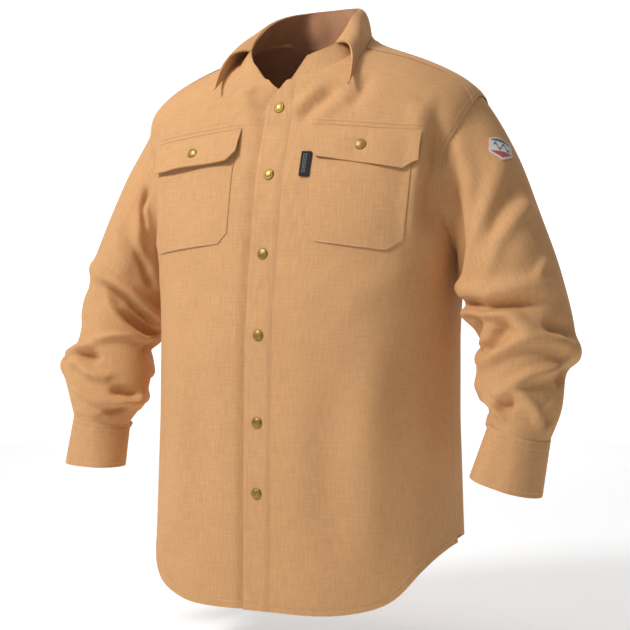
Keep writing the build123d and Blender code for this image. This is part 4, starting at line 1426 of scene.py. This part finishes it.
# Every piece of cloth: the size it was cut to, how it is held and on what, and the cut's own area.
# SIDE stands for left and for right.
SHEETS = [
    ("back_panel", (0.52, 0.58), "hung", ["yoke"], 0.285),
    ("yoke", (0.49, 0.25), "laid", ["yoke_lining"], 0.101),
    ("yoke_lining", (0.49, 0.25), "hung", ["collar_stand"], 0.098),
    ("SIDE_front", (0.30, 0.75), "hung", ["yoke"], 0.195),
    ("left_placket", (0.038, 0.69), "laid", ["left_front"], None),
    ("right_placket", (0.063, 0.69), "laid", ["right_front"], None),
    ("SIDE_pocket", (0.132, 0.150), "laid", ["SIDE_front"], 0.0186),
    ("SIDE_pocket_flap", (0.140, 0.052), "hung", ["SIDE_front"], 0.0066),
    ("SIDE_sleeve_upper", (0.47, 0.17), "hung", ["SIDE_front", "yoke", "back_panel"], 0.076),
    ("SIDE_sleeve_lower", (0.40, 0.23), "gathered", ["SIDE_cuff", "SIDE_sleeve_upper"], 0.084),
    ("SIDE_cuff", (0.26, 0.068), "hung", ["SIDE_sleeve_lower"], None),
    ("upper_collar", (0.46, 0.055), "folded", ["collar_stand"], 0.0215),
    ("collar_stand", (0.45, 0.045), "folded", ["yoke"], 0.0180),
    ("sleeve_badge", (0.033, 0.037), "laid", ["left_sleeve_upper"], 0.0010),
    ("pocket_tab_label", (0.0145, 0.033), "laid", ["left_placket"], None),
]


def built(name):
    """The rebuilt piece of that name, whether or not it shares it with a CAD node."""
    return bpy.data.objects.get(name + "_shaped") or bpy.data.objects[name]


for name, size, held, on, area in SHEETS:
    for word in ("left", "right") if "SIDE" in name else ("",):
        under = [built(x.replace("SIDE", word)) for x in on]

# ------------------------------------------------------------------ stage, light and camera
def stage_mesh(name, points, faces, material):
    mesh = bpy.data.meshes.new(name)
    mesh.from_pydata(points, [], faces)
    mesh.polygons.foreach_set("use_smooth", np.ones(len(mesh.polygons), bool))
    mesh.materials.append(material)
    o = bpy.data.objects.new(name, mesh)
    bpy.context.scene.collection.objects.link(o)
    return o


AZIMUTH, DISTANCE, EYE = math.radians(26.5), 1.9, -0.355
FLOOR_Z, FLOOR_NEAR, FLOOR_FAR = -0.80, -4.5, 2.6
SWEEP_RADIUS, SWEEP_TOP, SWEEP_HALF = 1.6, 5.5, 4.5

paper, nodes, links, shader = node_tree("paper")
shader.inputs["Base Color"].default_value = (0.80, 0.80, 0.80, 1)
shader.inputs["Roughness"].default_value = 0.9
place = nodes.new("ShaderNodeTexCoord").outputs["Object"]
apart = nodes.new("ShaderNodeSeparateXYZ")
links.new(place, apart.inputs[0])
# The paper glows by itself though it is no lamp: painted light, weakest on the floor and rising up the sweep
# to its full strength.
glow = ramp(nodes, links, math_node(nodes, links, "ADD", apart.outputs["Z"], -FLOOR_Z),
            [(0.0, (0.36,) * 3), (0.05, (0.58,) * 3), (0.40, (0.80,) * 3)])
links.new(glow, shader.inputs["Emission Color"])
shader.inputs["Emission Strength"].default_value = 1.0
away = np.array([-math.sin(AZIMUTH), math.cos(AZIMUTH)])
aside = np.array([away[1], -away[0]])
sweep = [(FLOOR_NEAR, 0.0), (FLOOR_FAR, 0.0)]
sweep += [(FLOOR_FAR + SWEEP_RADIUS * math.sin(a), SWEEP_RADIUS - SWEEP_RADIUS * math.cos(a))
          for a in np.linspace(0.06, math.pi / 2, 26)]
sweep += [(FLOOR_FAR + SWEEP_RADIUS, SWEEP_TOP)]
points = [(*(away * d + aside * w), FLOOR_Z + h) for d, h in sweep for w in (-SWEEP_HALF, SWEEP_HALF)]
faces = [(2 * i, 2 * i + 1, 2 * i + 3, 2 * i + 2) for i in range(len(sweep) - 1)]
stage_mesh("floor_sweep", points, faces, paper)


def lamp(name, size, power, place, target):
    """A white rectangular lamp at a place, turned towards its target."""
    data = bpy.data.lights.new(name, "AREA")
    data.shape, data.size, data.size_y = "RECTANGLE", size[0], size[1]
    data.energy = power
    o = bpy.data.objects.new(name, data)
    bpy.context.scene.collection.objects.link(o)
    o.location = place
    o.rotation_euler = (Vector(target) - Vector(place)).to_track_quat("-Z", "Y").to_euler()
    return o


lamp("key", (0.6, 0.6), 45, (-0.95, -1.5, 1.15), (0, 0, -0.1))
lamp("fill", (0.8, 0.8), 2.5, (0.7, -2.4, 1.2), (0.2, 0, -0.3))
lamp("top", (1.2, 1.2), 12, (0.3, -0.4, 2.2), (0, 0, -0.3))
lamp("back", (1.8, 1.8), 12, (-1.2, 2.6, 0.8), (0, 0, -0.3))
bpy.context.scene.view_settings.view_transform = "Standard"
world = bpy.data.worlds.new("world")
bpy.context.scene.world = world
world.use_nodes = True
world.node_tree.nodes["Background"].inputs["Color"].default_value = (1, 1, 1, 1)
world.node_tree.nodes["Background"].inputs["Strength"].default_value = 0.15

camera_data = bpy.data.cameras.new("camera")
camera_data.lens, camera_data.sensor_width = 79.6, 36.0
camera_data.dof.use_dof = False
camera = bpy.data.objects.new("camera", camera_data)
camera.location = (math.sin(AZIMUTH) * DISTANCE, -math.cos(AZIMUTH) * DISTANCE, EYE)
camera.rotation_euler = (math.radians(90), 0, AZIMUTH)
bpy.context.scene.collection.objects.link(camera)
bpy.context.scene.camera = camera
